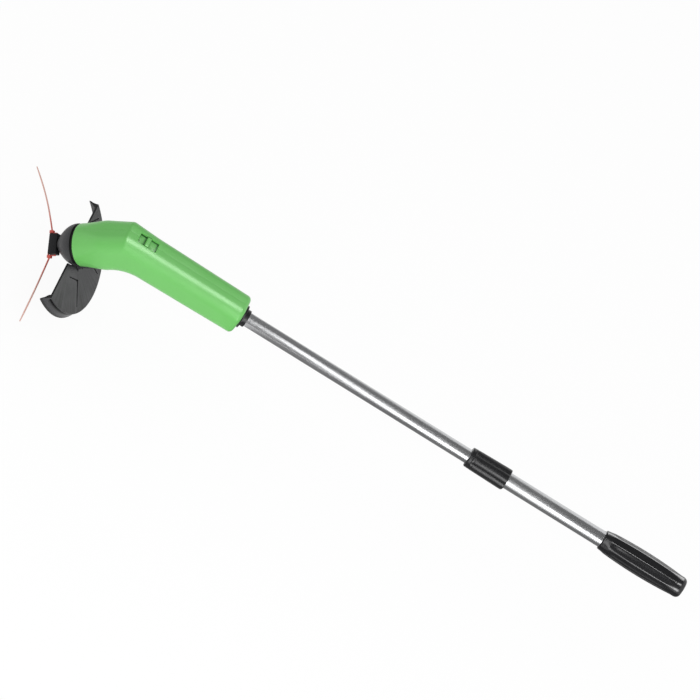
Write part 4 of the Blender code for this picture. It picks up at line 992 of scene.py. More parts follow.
@dataclass(frozen=True)
class Winding(Finish):
    """Lacquered copper wire wound side by side."""

    dark: Colour = (0.25, 0.08, 0.03, 1.0)
    smooth: float = 0.22
    rough: float = 0.4
    gloss_size: float = 200.0
    depth: float = 0.15
    metallic: float = 1.0

    def relief(self, coat: Coat) -> Socket:
        """The waves of the wires."""
        inputs = {"Vector": coat.place, "Scale": 900.0, "Distortion": 1.5, "Detail": 2.0}
        return coat.sheet.add("ShaderNodeTexWave", inputs).outputs[1]

    def tint(self, coat: Coat, height: Socket) -> Socket:
        """Dark between the wires."""
        return coat.sheet.blend(coat.sheet.ramp(height, 0.1, 0.6), self.dark, self.colour)


# The deep colour of each moulding is the colour of its painted shade
GREEN = Moulding(Slot.GREEN, linear(104, 184, 92), worn=linear(144, 208, 130), deep=linear(14, 78, 26),
                 smooth=0.30, rough=0.38, depth=0.004, drift=0.035, wear=0.25, grime=0.8)
BLACK = Moulding(Slot.BLACK, linear(22, 22, 24), worn=linear(60, 60, 62), smooth=0.22, rough=0.32, wear=0.3,
                 fineness=2200.0, depth=0.006, specular=0.62)
GRIP_BLACK = Moulding(Slot.BLACK, linear(18, 18, 20), label="_grip", worn=linear(52, 52, 54), smooth=0.15,
                      rough=0.21, wear=0.3, fineness=2200.0, depth=0.003, specular=0.55)
HUB_BLACK = Moulding(Slot.BLACK, linear(24, 24, 26), label="_hub", worn=linear(54, 54, 56), smooth=0.42,
                     rough=0.56, wear=0.3, fineness=2200.0, depth=0.012, specular=0.25)
GREY = Moulding(Slot.GREY, linear(46, 46, 49), worn=linear(90, 90, 92), smooth=0.40, rough=0.52, wear=0.3,
                fineness=2000.0, depth=0.010, reach=4.0, grime=0.8)
NOSE_GREY = Moulding(Slot.GREY, linear(48, 48, 50), label="_nose", worn=linear(76, 76, 78), smooth=0.40,
                     rough=0.52, wear=0.3, fineness=2000.0, depth=0.010, reach=2.5, grime=0.9, specular=0.4)
STEEL = DrawnTube(Slot.STEEL, (0.60, 0.605, 0.615, 1.0), smooth=0.20, rough=0.27)
ZINC = Plated(Slot.ZINC, (0.46, 0.47, 0.49, 1.0))
BRASS = Plated(Slot.BRASS, (0.62, 0.42, 0.16, 1.0), edge=(0.85, 0.66, 0.34, 1.0))
COPPER = Winding(Slot.COPPER, (0.72, 0.30, 0.15, 1.0))
FERRITE = Moulding(Slot.FERRITE, linear(52, 52, 55), worn=linear(90, 90, 94), smooth=0.6, rough=0.8,
                   fineness=1200.0, depth=0.03, drift=0.15)
CELL = CellSleeve(Slot.CELL, linear(38, 62, 128), ends=(77.1, 127.9))
RED_LEAD = Moulding(Slot.RED_LEAD, linear(190, 30, 28), worn=linear(215, 90, 80), smooth=0.34, rough=0.5)
BLACK_LEAD = Moulding(Slot.BLACK_LEAD, linear(30, 30, 32), worn=linear(70, 70, 72), smooth=0.34, rough=0.5)
HUB_MIDDLE = Axes.HEAD.matrix @ Vector((0, 0, 90.0))
NYLON = TieNylon(Slot.RED_NYLON, linear(196, 58, 46), tip=linear(206, 160, 148), middle=tuple(HUB_MIDDLE))


def fit(piece: Thing, body: Body, finish: Finish, nodes: Sequence[str], angle: float = 32.0) -> None:
    """Dresses a finished piece and puts it in its solids' place.

    Args:
        piece: The piece.
        body: The body that it rides on.
        finish: Its finish.
        nodes: The solids that it stands for.
        angle: Edges sharper than this stay sharp.
    """
    piece.data.materials.clear()
    piece.data.materials.append(finish.material())
    piece.data.shade_smooth()
    piece.data.set_sharp_from_angle(angle=math.radians(angle))
    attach(piece, body.value)
    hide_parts(*nodes)
    LOG.info("%s: %d faces, for %s", piece.name, len(piece.data.polygons), ", ".join(nodes))


# Geometry nodes


@dataclass
class Rule(Recipe):
    """What repeats, or follows a path or a rule, drawn by geometry nodes."""

    def built(self, name: str) -> Tree:
        """Builds a tree that takes a shape and ends in real meshes with the material set."""
        gives = {"Geometry": "NodeSocketGeometry"}
        takes = {**gives, **self.takes, "Material": "NodeSocketMaterial"}
        sheet, given = new_group(name, "GeometryNodeTree", takes, gives)
        shape = self.draw(sheet, given.outputs)
        real = sheet.add("GeometryNodeRealizeInstances", {0: shape}).outputs[0]
        inputs = {"Geometry": real, "Material": given.outputs["Material"]}
        sheet.add("NodeGroupOutput", {0: sheet.add("GeometryNodeSetMaterial", inputs).outputs[0]})
        return sheet.tree

    def grow(self, thing: Thing, finish: Finish, values: dict[str, object]) -> None:
        """Runs the tree on an object, which becomes a plain mesh.

        Args:
            thing: The object.
            finish: The finish of what grows.
            values: The tree's own inputs by name.
        """
        tree = self.group()
        modifier = thing.modifiers.new(tree.name, "NODES")
        modifier.node_group = tree
        inputs = {**values, "Material": finish.material()}
        for item in tree.interface.items_tree:
            if item.item_type == "SOCKET" and item.in_out == "INPUT" and item.name in inputs:
                modifier[item.identifier] = inputs[item.name]
        settle(thing)


def swept(sheet: NodeSheet, path: Socket, sides: object, radius: object) -> Socket:
    """Runs a round bar along a curve.

    Args:
        sheet: The sheet of the tree.
        path: The curve.
        sides: Divisions round the bar.
        radius: The bar's radius.

    Returns:
        The bar's socket.
    """
    inputs = {"Resolution": sides, "Radius": radius}
    ring = sheet.add("GeometryNodeCurvePrimitiveCircle", inputs, mode="RADIUS")
    inputs = {"Curve": path, "Profile Curve": ring.outputs[0], "Fill Caps": True}
    return sheet.add("GeometryNodeCurveToMesh", inputs).outputs[0]


@Rule({"Part": "NodeSocketObject", "Scale": 1.0})
def parts_on_seats(sheet: NodeSheet, given: Given) -> Socket:
    """Sets a copy of one part on every seat, its Z along `aim` and its X along `across`."""
    part = sheet.add("GeometryNodeObjectInfo", {"Object": given["Part"]})
    turn: object = (0.0, 0.0, 0.0)
    for attribute, axis, pivot in (("aim", "Z", "AUTO"), ("across", "X", "Z")):
        way = sheet.add("GeometryNodeInputNamedAttribute", {"Name": attribute}, data_type="FLOAT_VECTOR")
        inputs = {"Rotation": turn, "Vector": way.outputs[0]}
        turn = sheet.add("FunctionNodeAlignRotationToVector", inputs, axis=axis, pivot_axis=pivot).outputs[0]
    inputs = {"Points": given["Geometry"], "Instance": part.outputs["Geometry"], "Rotation": turn,
              "Scale": given["Scale"]}
    return sheet.add("GeometryNodeInstanceOnPoints", inputs).outputs[0]


@Rule({"Radius": 0.001, "Bend Radius": 0.003, "Sides": 14})
def bar_along_path(sheet: NodeSheet, given: Given) -> Socket:
    """Runs a round bar along a path and rounds the path's corners."""
    path = sheet.add("GeometryNodeMeshToCurve", {0: given["Geometry"]}).outputs[0]
    inputs = {"Curve": path, "Count": 6, "Radius": given["Bend Radius"], "Limit Radius": True}
    bent = sheet.add("GeometryNodeFilletCurve", inputs, mode="POLY")
    return swept(sheet, bent.outputs[0], given["Sides"], given["Radius"])


@Rule({"Turns": 3.0, "Wide": 3.4, "Narrow": 2.0, "Length": 4.0, "Wire": 0.4})
def narrowing_spring(sheet: NodeSheet, given: Given) -> Socket:
    """A coil spring that narrows from its first turn to its last."""
    inputs = {"Resolution": 32, "Rotations": given["Turns"], "Start Radius": given["Wide"],
              "End Radius": given["Narrow"], "Height": given["Length"]}
    coil = sheet.add("GeometryNodeCurveSpiral", inputs)
    return swept(sheet, coil.outputs[0], 12, given["Wire"])


@Rule({"Repeats": 6.0, "Turn": 0.0, "Depth": 1.0, "Power": 1.0, "Ridges": 1.0, "Fade In Start": 0.0,
       "Fade In End": 1.0, "Fade Out Start": 2.0, "Fade Out End": 3.0, "Skin Low": 0.0, "Skin High": 1.0})
def fluted_sleeve(sheet: NodeSheet, given: Given) -> Socket:
    """Presses hollows into a turned body, by angle and height.

    A hollow's depth follows a power of the sine of the angle: with Ridges at 1 the flutes meet in
    ridges, rounder the higher Power is, and with Ridges at 0 broad lobes meet in narrow grooves.
    """
    place = sheet.add("GeometryNodeInputPosition").outputs[0]
    x, y, z = sheet.add("ShaderNodeSeparateXYZ", {0: place}).outputs
    radius = sheet.math("SQRT", sheet.plus(sheet.times(x, x), sheet.times(y, y)))
    angle = sheet.minus(sheet.math("ARCTAN2", y, x), given["Turn"])
    phase = sheet.times(sheet.times(angle, given["Repeats"]), 0.5)
    wave = sheet.math("POWER", sheet.math("ABSOLUTE", sheet.math("SINE", phase)), given["Power"])
    ridged = sheet.times(wave, given["Ridges"])
    lobed = sheet.times(sheet.minus(1.0, wave), sheet.minus(1.0, given["Ridges"]))
    fade_in = sheet.ramp(z, given["Fade In Start"], given["Fade In End"])
    fade_out = sheet.ramp(z, given["Fade Out Start"], given["Fade Out End"], 1.0, 0.0)
    skin = sheet.ramp(radius, given["Skin Low"], given["Skin High"])
    share = sheet.times(sheet.times(fade_in, fade_out), skin)
    deep = sheet.times(sheet.times(sheet.plus(ridged, lobed), share), given["Depth"])
    inward = sheet.math("DIVIDE", sheet.times(deep, -1.0), radius)
    offset = sheet.add("ShaderNodeCombineXYZ", {0: sheet.times(x, inward), 1: sheet.times(y, inward)})
    inputs = {"Geometry": given["Geometry"], "Offset": offset.outputs[0]}
    return sheet.add("GeometryNodeSetPosition", inputs).outputs[0]


@dataclass
class Seats:
    """Places for copies of one part, each with the directions of the part's Z and X."""

    axes: Axes
    places: list[tuple[Vector, Vector, Vector]]

    def filled(self, name: str, part: Draft, finish: Finish) -> Thing:
        """Sets a copy of a part on every seat.

        Args:
            name: Name of the result.
            part: The part, drawn about its own origin.
            finish: Its finish.

        Returns:
            All the copies as one object.
        """
        thing = from_points(name, [at for at, _, _ in self.places])
        for label, index in (("aim", 1), ("across", 2)):
            values = thing.data.attributes.new(label, "FLOAT_VECTOR", "POINT")
            values.data.foreach_set("vector", [number for row in self.places for number in row[index]])
        bmesh.ops.recalc_face_normals(part.mesh, faces=part.mesh.faces)
        stock = from_shape(name + "_stock", part.mesh)
        parts_on_seats.grow(thing, finish, {"Part": stock, "Scale": 1.0})
        thing.data.transform(self.axes.matrix)
        discard(stock)
        return thing


# Screws


@dataclass
class Screws:
    """Slotted pan-head screws, each set on a seat under its head."""

    head_radius: float = 2.7
    head_height: float = 2.0
    head_rim: float = 0.15
    shank_radius: float = 1.1
    length: float = 16.0
    thread_pitch: float = 1.2
    thread_depth: float = 0.25
    slot_width: float = 0.7
    slot_depth: float = 0.9
    tip_taper: float = 0.5
    tip_heights: Flat = (1.2, 1.0)
    crown_flat: float = 0.2
    crown_rise: float = 0.45
    thread_start: float = 1.0
    unthreaded: float = 3.0
    sides: int = 28

    def outline(self) -> list[Flat]:
        """The (radius, height) points from the middle of the head to the tip."""
        radius, height, shank = self.head_radius, self.head_height, self.shank_radius
        middle = 0.02
        points = [(middle, -height)]
        for angle in quarter_turn(6):
            across = radius * (self.crown_flat + (1 - self.crown_flat) * math.sin(angle))
            points.append((across, -height * mix(1.0, self.crown_rise, 1 - math.cos(angle))))
        points += [(radius, -self.head_rim), (radius - self.head_rim, 0.0), (shank, 0.0)]
        for turn in range(int((self.length - self.unthreaded) / self.thread_pitch)):
            z = self.thread_start + turn * self.thread_pitch
            points += [(shank - self.thread_depth, z), (shank, z + self.thread_pitch / 2)]
        side, point = (self.length - height for height in self.tip_heights)
        return points + [(shank * self.tip_taper, side), (middle, point)]

    def drawn(self) -> Draft:
        """One screw about Z, its head's underside at zero and its shank towards +Z.

        Returns:
            The screw, with the driver's slot cut across its head.
        """
        columns = [swung(self.outline(), angle) for angle in full_turn(self.sides)]
        blank = Draft().loft(list(zip(*columns))).place("screw_blank", Axes.PART)
        reach, half, top = self.head_radius + 1, self.slot_width / 2, -self.head_height
        slot = Draft().box((-reach, -half, top - 1), (reach, half, top + self.slot_depth))
        combine(blank, [slot.place("screw_slot", Axes.PART)])
        blank.data.transform(Matrix.Scale(1 / MM, 4))
        screw = Draft()
        screw.mesh.from_mesh(blank.data)
        discard(blank)
        return screw

    def set_on(self, name: str, seats: Seats, nodes: Sequence[str], body: Body = Body.HEAD) -> None:
        """Makes the screws that sit on seats, as one piece.

        Args:
            name: Name of the piece.
            seats: Where they sit.
            nodes: The solids that they stand for.
            body: The body that they ride on.
        """
        fit(seats.filled(name, self.drawn(), ZINC), body, ZINC, nodes, 40.0)


# Housing


@dataclass
class Housing:
    """The bent housing of two halves, the battery door and the screws.

    Its sections round the bend lie in planes that fan out from a pivot on the hollow side, so there the
    surface is an arc, while the top follows two straight lines that meet in a softened crease.
    """

    head_length: float = 57.8
    handle_length: float = 145.0
    head_side: float = 47.0
    knee_side: float = 43.0
    end_side: float = 40.0
    front_radius: float = 23.4
    head_corner: float = 15.0
    handle_corner: float = 14.0
    end_rounding: float = 5.0
    front_rounding: float = 1.6
    bend_axis_radius: float = 62.0
    crease_radius: float = 5.0
    crease_turns_deg: Row = (-0.9, -0.6, -0.3, 0.3, 0.6, 0.9)
    wall: float = 2.2
    end_wall: float = 3.0
    half_seam: float = 0.04
    seam_depth: float = 0.06
    seam: Line = ((0.75, 0.0), (0.42, 0.3), (0.15, 1.0), (-0.15, 1.0), (-0.42, 0.3), (-0.75, 0.0))
    corner_steps: int = 14
    fan_steps: int = 22
    front_steps: int = 6
    end_steps: int = 9
    head_shares: Row = (0.88, 0.76, 0.64, 0.52, 0.4, 0.28, 0.16, 0.07)
    handle_shares: Row = (0.2, 0.4, 0.6, 0.8)
    slot_start: float = 4.4
    slot_length: float = 22.4
    slot_width: float = 14.0
    slot_corner: float = 0.8
    slot_low: float = 16.6
    slot_rim_low: float = 20.7
    slot_flare: float = 1.5
    door_start: float = 22.6
    door_length: float = 106.0
    door_half_width: float = 15.2
    door_level: float = -12.0
    handle_screws: tuple[float, float] = (24.0, 79.0)
    handle_screw_level: float = 11.0
    head_screws: Line = ((-2.6, -14.2), (28.0, 17.6), (30.0, -17.6))
    screw_sink: float = 6.5
    screw_head: float = 2.7
    screw_reach: float = 18.0
    boss_radius: float = 3.2
    guard_boss_radius: float = 2.9
    guard_boss_start: float = 13.6
    guard_pilot_start: float = 15.1
    shelves: tuple[float, float] = (40.7, 104.0)
    shelf_thickness: float = 2.4
    shelf_top: float = 3.2
    switch_shelf: tuple[Flat, Flat] = ((7.9, 5.5), (21.9, 7.5))
    ribs: tuple[float, float] = (20.0, 36.0)
    rib_thickness: float = 2.0
    rib_bore: float = 12.4
    rib_bore_length: float = 90.0
    pole_bore: float = 10.3
    pole_bore_span: tuple[float, float] = (138.0, 149.0)
    bead_groove: tuple[Flat, Flat] = ((18.0, 55.5), (22.2, 53.3))
    thumb_ribs: int = 4
    thumb_start: float = 8.6
    thumb_pitch: float = 3.0
    thumb_half_length: float = 7.0
    thumb_half_section: Flat = (0.75, 1.1)

    @property
    def fan_tangent(self) -> float:
        """How far from the bend's corner the fan of sections starts."""
        return self.bend_axis_radius * math.tan(BEND / 2)

    @staticmethod
    def head_point(forward: float, guard: float, side: float = 0.0) -> Vector:
        """A point given along the head's axes, in knee coordinates."""
        return Vector((-math.cos(BEND) * forward + math.sin(BEND) * guard, side,
                       -math.sin(BEND) * forward - math.cos(BEND) * guard))

    def section(self, low: float, high: float, half: float, corner: float, groove: float) -> list[Flat]:
        """Draws one section, with a shallow groove along the seam at its top and bottom.

        Args:
            low: Level of its underside.
            high: Level of its top.
            half: Half its width.
            corner: Radius of its corners.
            groove: Depth of the seam's groove.

        Returns:
            The points (across, up) round it.
        """
        corner = min(corner, (high - low) / 2 - 0.01, half - 0.01)
        flat = half - corner
        points = []
        for quarter, (side, top) in enumerate(((1, True), (-1, True), (-1, False), (1, False))):
            for step in range(self.corner_steps + 1):
                angle = math.pi / 2 * (quarter + step / self.corner_steps)
                across = side * max(abs(side * flat + corner * math.cos(angle)), 1.0)
                rise = math.sqrt(max(0.0, corner**2 - max(0.0, abs(across) - flat) ** 2))
                points.append((across, high - corner + rise if top else low + corner - rise))
            if quarter == 0:
                points += [(across, high - groove * share) for across, share in self.seam]
            if quarter == 2:
                points += [(-across, low + groove * share) for across, share in self.seam]
        return points

    def far_level(self, turn: float, half: float) -> float:
        """Distance of the top from the fan's pivot, with the crease softened.

        Args:
            turn: Angle round the pivot.
            half: Half the height of the section there.

        Returns:
            The distance.
        """
        away = abs(turn - BEND / 2)
        round_off = self.crease_radius
        corner = (self.bend_axis_radius + half) / math.cos(BEND / 2)
        centre = corner - round_off / math.cos(BEND / 2)
        limit = math.atan2(round_off * math.sin(BEND / 2), centre + round_off * math.cos(BEND / 2))
        if away >= limit:
            return (self.bend_axis_radius + half) / math.cos(min(turn, BEND - turn))
        return centre * math.cos(away) + math.sqrt(round_off**2 - (centre * math.sin(away)) ** 2)

    def fan_turns(self) -> list[float]:
        """The angles of the sections round the bend, closer together at the crease."""
        turns = [BEND * step / self.fan_steps for step in range(self.fan_steps + 1)]
        turns += [BEND / 2 + math.radians(away) for away in self.crease_turns_deg]
        return sorted(turns, reverse=True)

    def rings(self, inset: float) -> list[Ring]:
        """Draws the sections from the head's front to the handle's end.

        Args:
            inset: How far every section is pulled in: 0 for the skin, the wall's thickness for the cavity.

        Returns:
            The rings, in knee coordinates.
        """
        rings: list[Ring] = []
        groove = 0.0 if inset else self.seam_depth
        head_up = self.head_point(0.0, -1.0)
        radius = self.front_radius

        def add(origin: Vector, up: Vector, half: float, corner: float, span: Flat = (0.0, 0.0)) -> None:
            """Adds the section at an origin, as high as wide unless a span of levels is given."""
            low, high = span if any(span) else (-half, half)
            flat = self.section(low + inset, high - inset, half - inset, corner - inset, groove)
            rings.append([origin + up * level + Y_AXIS * across for across, level in flat])

        if inset:
            add(self.head_point(self.head_length + 10, 0), head_up, radius, radius)
        else:
            for angle in reversed(quarter_turn(self.front_steps)):
                side = radius - self.front_rounding * (1 - math.cos(angle))
                at = self.head_length - self.front_rounding * (1 - math.sin(angle))
                add(self.head_point(at, 0), head_up, side, side)
        for share in self.head_shares:
            side = mix(self.head_side / 2, radius, share**3)
            corner = mix(self.head_corner, radius, math.sin(math.pi / 2 * share) ** 1.5)
            add(self.head_point(mix(self.fan_tangent, self.head_length, share), 0), head_up, side, corner)
        pivot = Vector((self.fan_tangent, 0, -self.bend_axis_radius))
        for turn in self.fan_turns():
            half = mix(self.knee_side, self.head_side, turn / BEND) / 2
            span = (self.bend_axis_radius - half, self.far_level(turn, half))
            add(pivot, Vector((-math.sin(turn), 0, math.cos(turn))), half, self.head_corner, span)
        last = self.handle_length - (self.end_wall if inset else self.end_rounding)
        for share in self.handle_shares:
            half = mix(self.knee_side, self.end_side, share) / 2
            corner = mix(self.head_corner, self.handle_corner, share)
            add(X_AXIS * mix(self.fan_tangent, last, share), Z_AXIS, half, corner)
        if inset:
            add(X_AXIS * last, Z_AXIS, self.end_side / 2 - 1.0, self.handle_corner)
            return rings
        for angle in quarter_turn(self.end_steps):
            trim = self.end_rounding * (1 - math.cos(angle))
            at = self.handle_length - self.end_rounding * (1 - math.sin(angle))
            add(X_AXIS * at, Z_AXIS, self.end_side / 2 - trim, self.handle_corner - trim)
        return rings

    def screw_places(self) -> list[Vector]:
        """Where the five screws cross the bend plane."""
        level = self.handle_screw_level
        handle = [Vector((self.handle_length - back, 0, level)) for back in self.handle_screws]
        return handle + [self.head_point(forward, guard) for forward, guard in self.head_screws]

    def guard_rods(self, draft: Draft, start: float, radius: float, steps: int) -> None:
        """Draws a rod at each screw of the guard, from a start outwards.

        Args:
            draft: What it is drawn in, in knee coordinates.
            start: Where it starts, from the cutter's axis.
            radius: Its radius.
            steps: Divisions round it.
        """
        for y in GUARD_SCREW_SIDES:
            ends = [self.head_point(GUARD_SCREW_FORWARD, guard, y) for guard in (start, OVERSHOOT)]
            draft.rod(*ends, radius, steps)

    def inner(self, name: str) -> Thing:
        """The surface inside the walls as one closed body."""
        return Draft().loft(self.rings(self.wall)).place(name, Axes.KNEE)

    def cavity(self) -> Thing:
        """Draws the hollow inside, less the bosses, shelves and ribs that stand in it.

        Returns:
            The hollow as a cutter.
        """
        hollow = self.inner("cavity")
        keep = Draft()
        for place in self.screw_places():
            keep.rod(place - Y_AXIS * OVERSHOOT, place + Y_AXIS * OVERSHOOT, self.boss_radius, 28)
        for x in self.shelves:
            keep.box((x, -OVERSHOOT, GAP), (x + self.shelf_thickness, OVERSHOOT, self.shelf_top))
        (low_x, low_z), (high_x, high_z) = self.switch_shelf
        keep.box((low_x, -OVERSHOOT, low_z), (high_x, OVERSHOOT, high_z))
        self.guard_rods(keep, self.guard_boss_start, self.guard_boss_radius, 28)
        ribs = Draft()
        for start in self.ribs:
            ribs.box((-OVERSHOOT, -OVERSHOOT, start), (OVERSHOOT, OVERSHOOT, start + self.rib_thickness))
        plates = ribs.place("ribs", Axes.HEAD)
        bore = Draft().rod((0, 0, 0), Z_AXIS * self.rib_bore_length, self.rib_bore, 48)
        combine(plates, [bore.place("rib_bore", Axes.HEAD)])
        return combine(hollow, [keep.place("keep", Axes.KNEE), plates])

    def openings(self) -> list[Thing]:
        """Draws cutters for everything that goes through the walls.

        Returns:
            The cutters.
        """
        holes = Draft()
        pilots = Draft()
        for place in self.screw_places():
            head = place + Y_AXIS * self.screw_sink
            holes.rod(head, head + Y_AXIS * OVERSHOOT, self.screw_head + GAP, 36)
            pilots.rod(head - Y_AXIS * self.screw_reach, head + Y_AXIS, PILOT_RADIUS, 20)
        start, end = self.pole_bore_span
        holes.rod(X_AXIS * start, X_AXIS * end, self.pole_bore, 64)
        self.guard_rods(pilots, self.guard_pilot_start, PILOT_RADIUS, 20)
        groove = Draft().turned(rectangle(*self.bead_groove), 96)
        half = self.slot_width / 2
        corners = rectangle((self.slot_start, -half), (self.slot_start + self.slot_length, half))
        outline = [Vector((x, y, 0)) for x, y in rounded(corners, self.slot_corner)]
        slot = Draft().prism([point + Z_AXIS * self.slot_low for point in outline], Z_AXIS * 20)
        rim = [point + Z_AXIS * self.slot_rim_low for point in outline]
        edge = Draft().prism(rim, Z_AXIS * 2.4, flare=self.slot_flare)
        return [holes.place("holes", Axes.KNEE), pilots.place("pilots", Axes.KNEE),
                groove.place("bead_groove", Axes.HEAD), slot.place("slot", Axes.KNEE),
                edge.place("slot_edge", Axes.KNEE)]

    def door_box(self, name: str, spare: float) -> Thing:
        """Draws the space of the battery door, or of its opening.

        Args:
            name: Name of the result.
            spare: Room all round.

        Returns:
            The space.
        """
        half = self.door_half_width + spare
        end = self.door_start + self.door_length + spare
        low = (self.door_start - spare, -half, -2 * OVERSHOOT)
        return Draft().box(low, (end, half, self.door_level - GAP + spare)).place(name, Axes.KNEE)

    def skin(self, name: str) -> Thing:
        """The housing's outer surface as one closed body."""
        return Draft().loft(self.rings(0.0)).place(name, Axes.KNEE)

    def build(self) -> None:
        """Makes both halves, the door and the screws."""
        reach = self.handle_length + 2 * OVERSHOOT
        for name, side in (("shell_left", 1), ("shell_right", -1)):
            half = self.skin(name)
            seam = -side * self.half_seam
            other = Draft().box((-reach, seam, -reach), (reach, side * 2 * OVERSHOOT, reach))
            combine(half, [self.cavity(), other.place("other_side", Axes.KNEE), *self.openings(),
                           self.door_box("door_opening", GAP)])
            fit(half, Body.HEAD, GREEN, [name.replace("shell", "housing")])
        self.build_door()
        sunk = Y_AXIS * (self.screw_sink + GAP)
        seats = Seats(Axes.KNEE, [(place + sunk, -Y_AXIS, X_AXIS + Z_AXIS) for place in self.screw_places()])
        Screws().set_on("shell_screws", seats, [f"housing_screw_{number}" for number in range(1, 6)])

    def build_door(self) -> None:
        """The battery door, cut from the same skin, with grooves for the thumb."""
        door = self.skin("door_panel")
        combine(door, [self.inner("door_inner")])
        combine(door, [self.door_box("door_limits", 0.0)], Joining.KEEP)
        first = self.door_start + self.thumb_start
        along = [first + self.thumb_pitch * number for number in range(self.thumb_ribs)]
        seats = Seats(Axes.KNEE, [(Vector((x, 0, -self.knee_side / 2)), Y_AXIS, X_AXIS) for x in along])
        combine(door, [seats.filled("thumb_grooves", self.groove_bar(), GREEN)])
        fit(door, Body.DOOR, GREEN, ["battery_door"])

    def groove_bar(self) -> Draft:
        """One round-bottomed groove for the thumb, along Z."""
        half_width, depth = self.thumb_half_section
        half = Z_AXIS * self.thumb_half_length
        outline = [Vector((half_width * math.cos(turn), depth * math.sin(turn), 0)) for turn in full_turn(16)]
        return Draft().loft([[point - half for point in outline], [point + half for point in outline]])


# Nose


@dataclass
class Nose:
    """The dark dome in front of the motor, set back from the housing by a ring-shaped recess.

    The pairs of its skirt, its bead and its inner faces are (radius, height) points down from the dome.
    """

    base: float = 58.1
    length: float = 26.2
    radius: float = 23.3
    tip_radius: float = 5.0
    wall: float = 2.4
    ring: float = 2.2
    ring_depth: float = 1.4
    edge_rounding: Flat = (0.25, 0.12)
    skirt: Line = ((20.9, 55.2), (21.9, 54.9), (21.9, 53.9), (20.9, 53.6), (20.9, 50.9), (20.7, 50.7),
                   (18.9, 50.7), (18.7, 50.9), (18.7, 57.1))
    skirt_radius: float = 20.9
    skirt_bore: float = 18.7
    tube_end: float = 53.7
    tube_radii: Flat = (1.3, 2.9)
    steps: int = 22
    inner_steps: int = 12
    sides: int = 120

    def dome(self, start: float, end: float, inset: float, steps: int) -> list[Flat]:
        """Draws the points up a parabola.

        Args:
            start: Height of its foot.
            end: Height of its top.
            inset: How far it is drawn in.
            steps: Its points, less one.

        Returns:
            The (radius, height) points.
        """
        points = []
        for step in range(steps + 1):
            share = step / steps
            radius = self.radius - inset - (self.radius - self.tip_radius) * share**2
            points.append((radius, mix(start, end, share)))
        return points

    def build(self) -> None:
        """Makes the dome with its skirt and the tube round the shaft."""
        tip = self.base + self.length
        edge = self.base + self.ring
        bore, tube = self.tube_radii
        outside = self.dome(edge, tip, 0.0, self.steps)
        top = outside[-1][0]
        outside[-1] = (top + 0.25, tip - 0.3)
        within = self.dome(self.base, tip - self.wall, self.wall, self.inner_steps)
        inside = [(min(radius, self.skirt_bore), z) for radius, z in within]
        ring = self.radius - self.ring_depth
        back, down = self.edge_rounding
        profile = [(bore, tip - 0.2), (bore + 0.2, tip), (top - 0.5, tip)] + outside[::-1]
        profile += [(self.radius - back, edge - down), (ring, edge - down), (ring, self.base)]
        profile += [(self.skirt_radius, self.base), *self.skirt, *inside[1:-1]]
        profile += [(tube, tip - self.wall), (tube, self.tube_end), (bore, self.tube_end)]
        nose = Draft().turned(profile, self.sides).place("nose_dome", Axes.HEAD)
        # Painted shade: the ring-shaped recess at the dome's foot and everything below it are darkened
        stain(nose, Axes.HEAD, lambda at, _: 0.95 if at.z < edge + 0.05 else 0.0)
        fit(nose, Body.HEAD, NOSE_GREY, ["nose_cone"])


# Guard


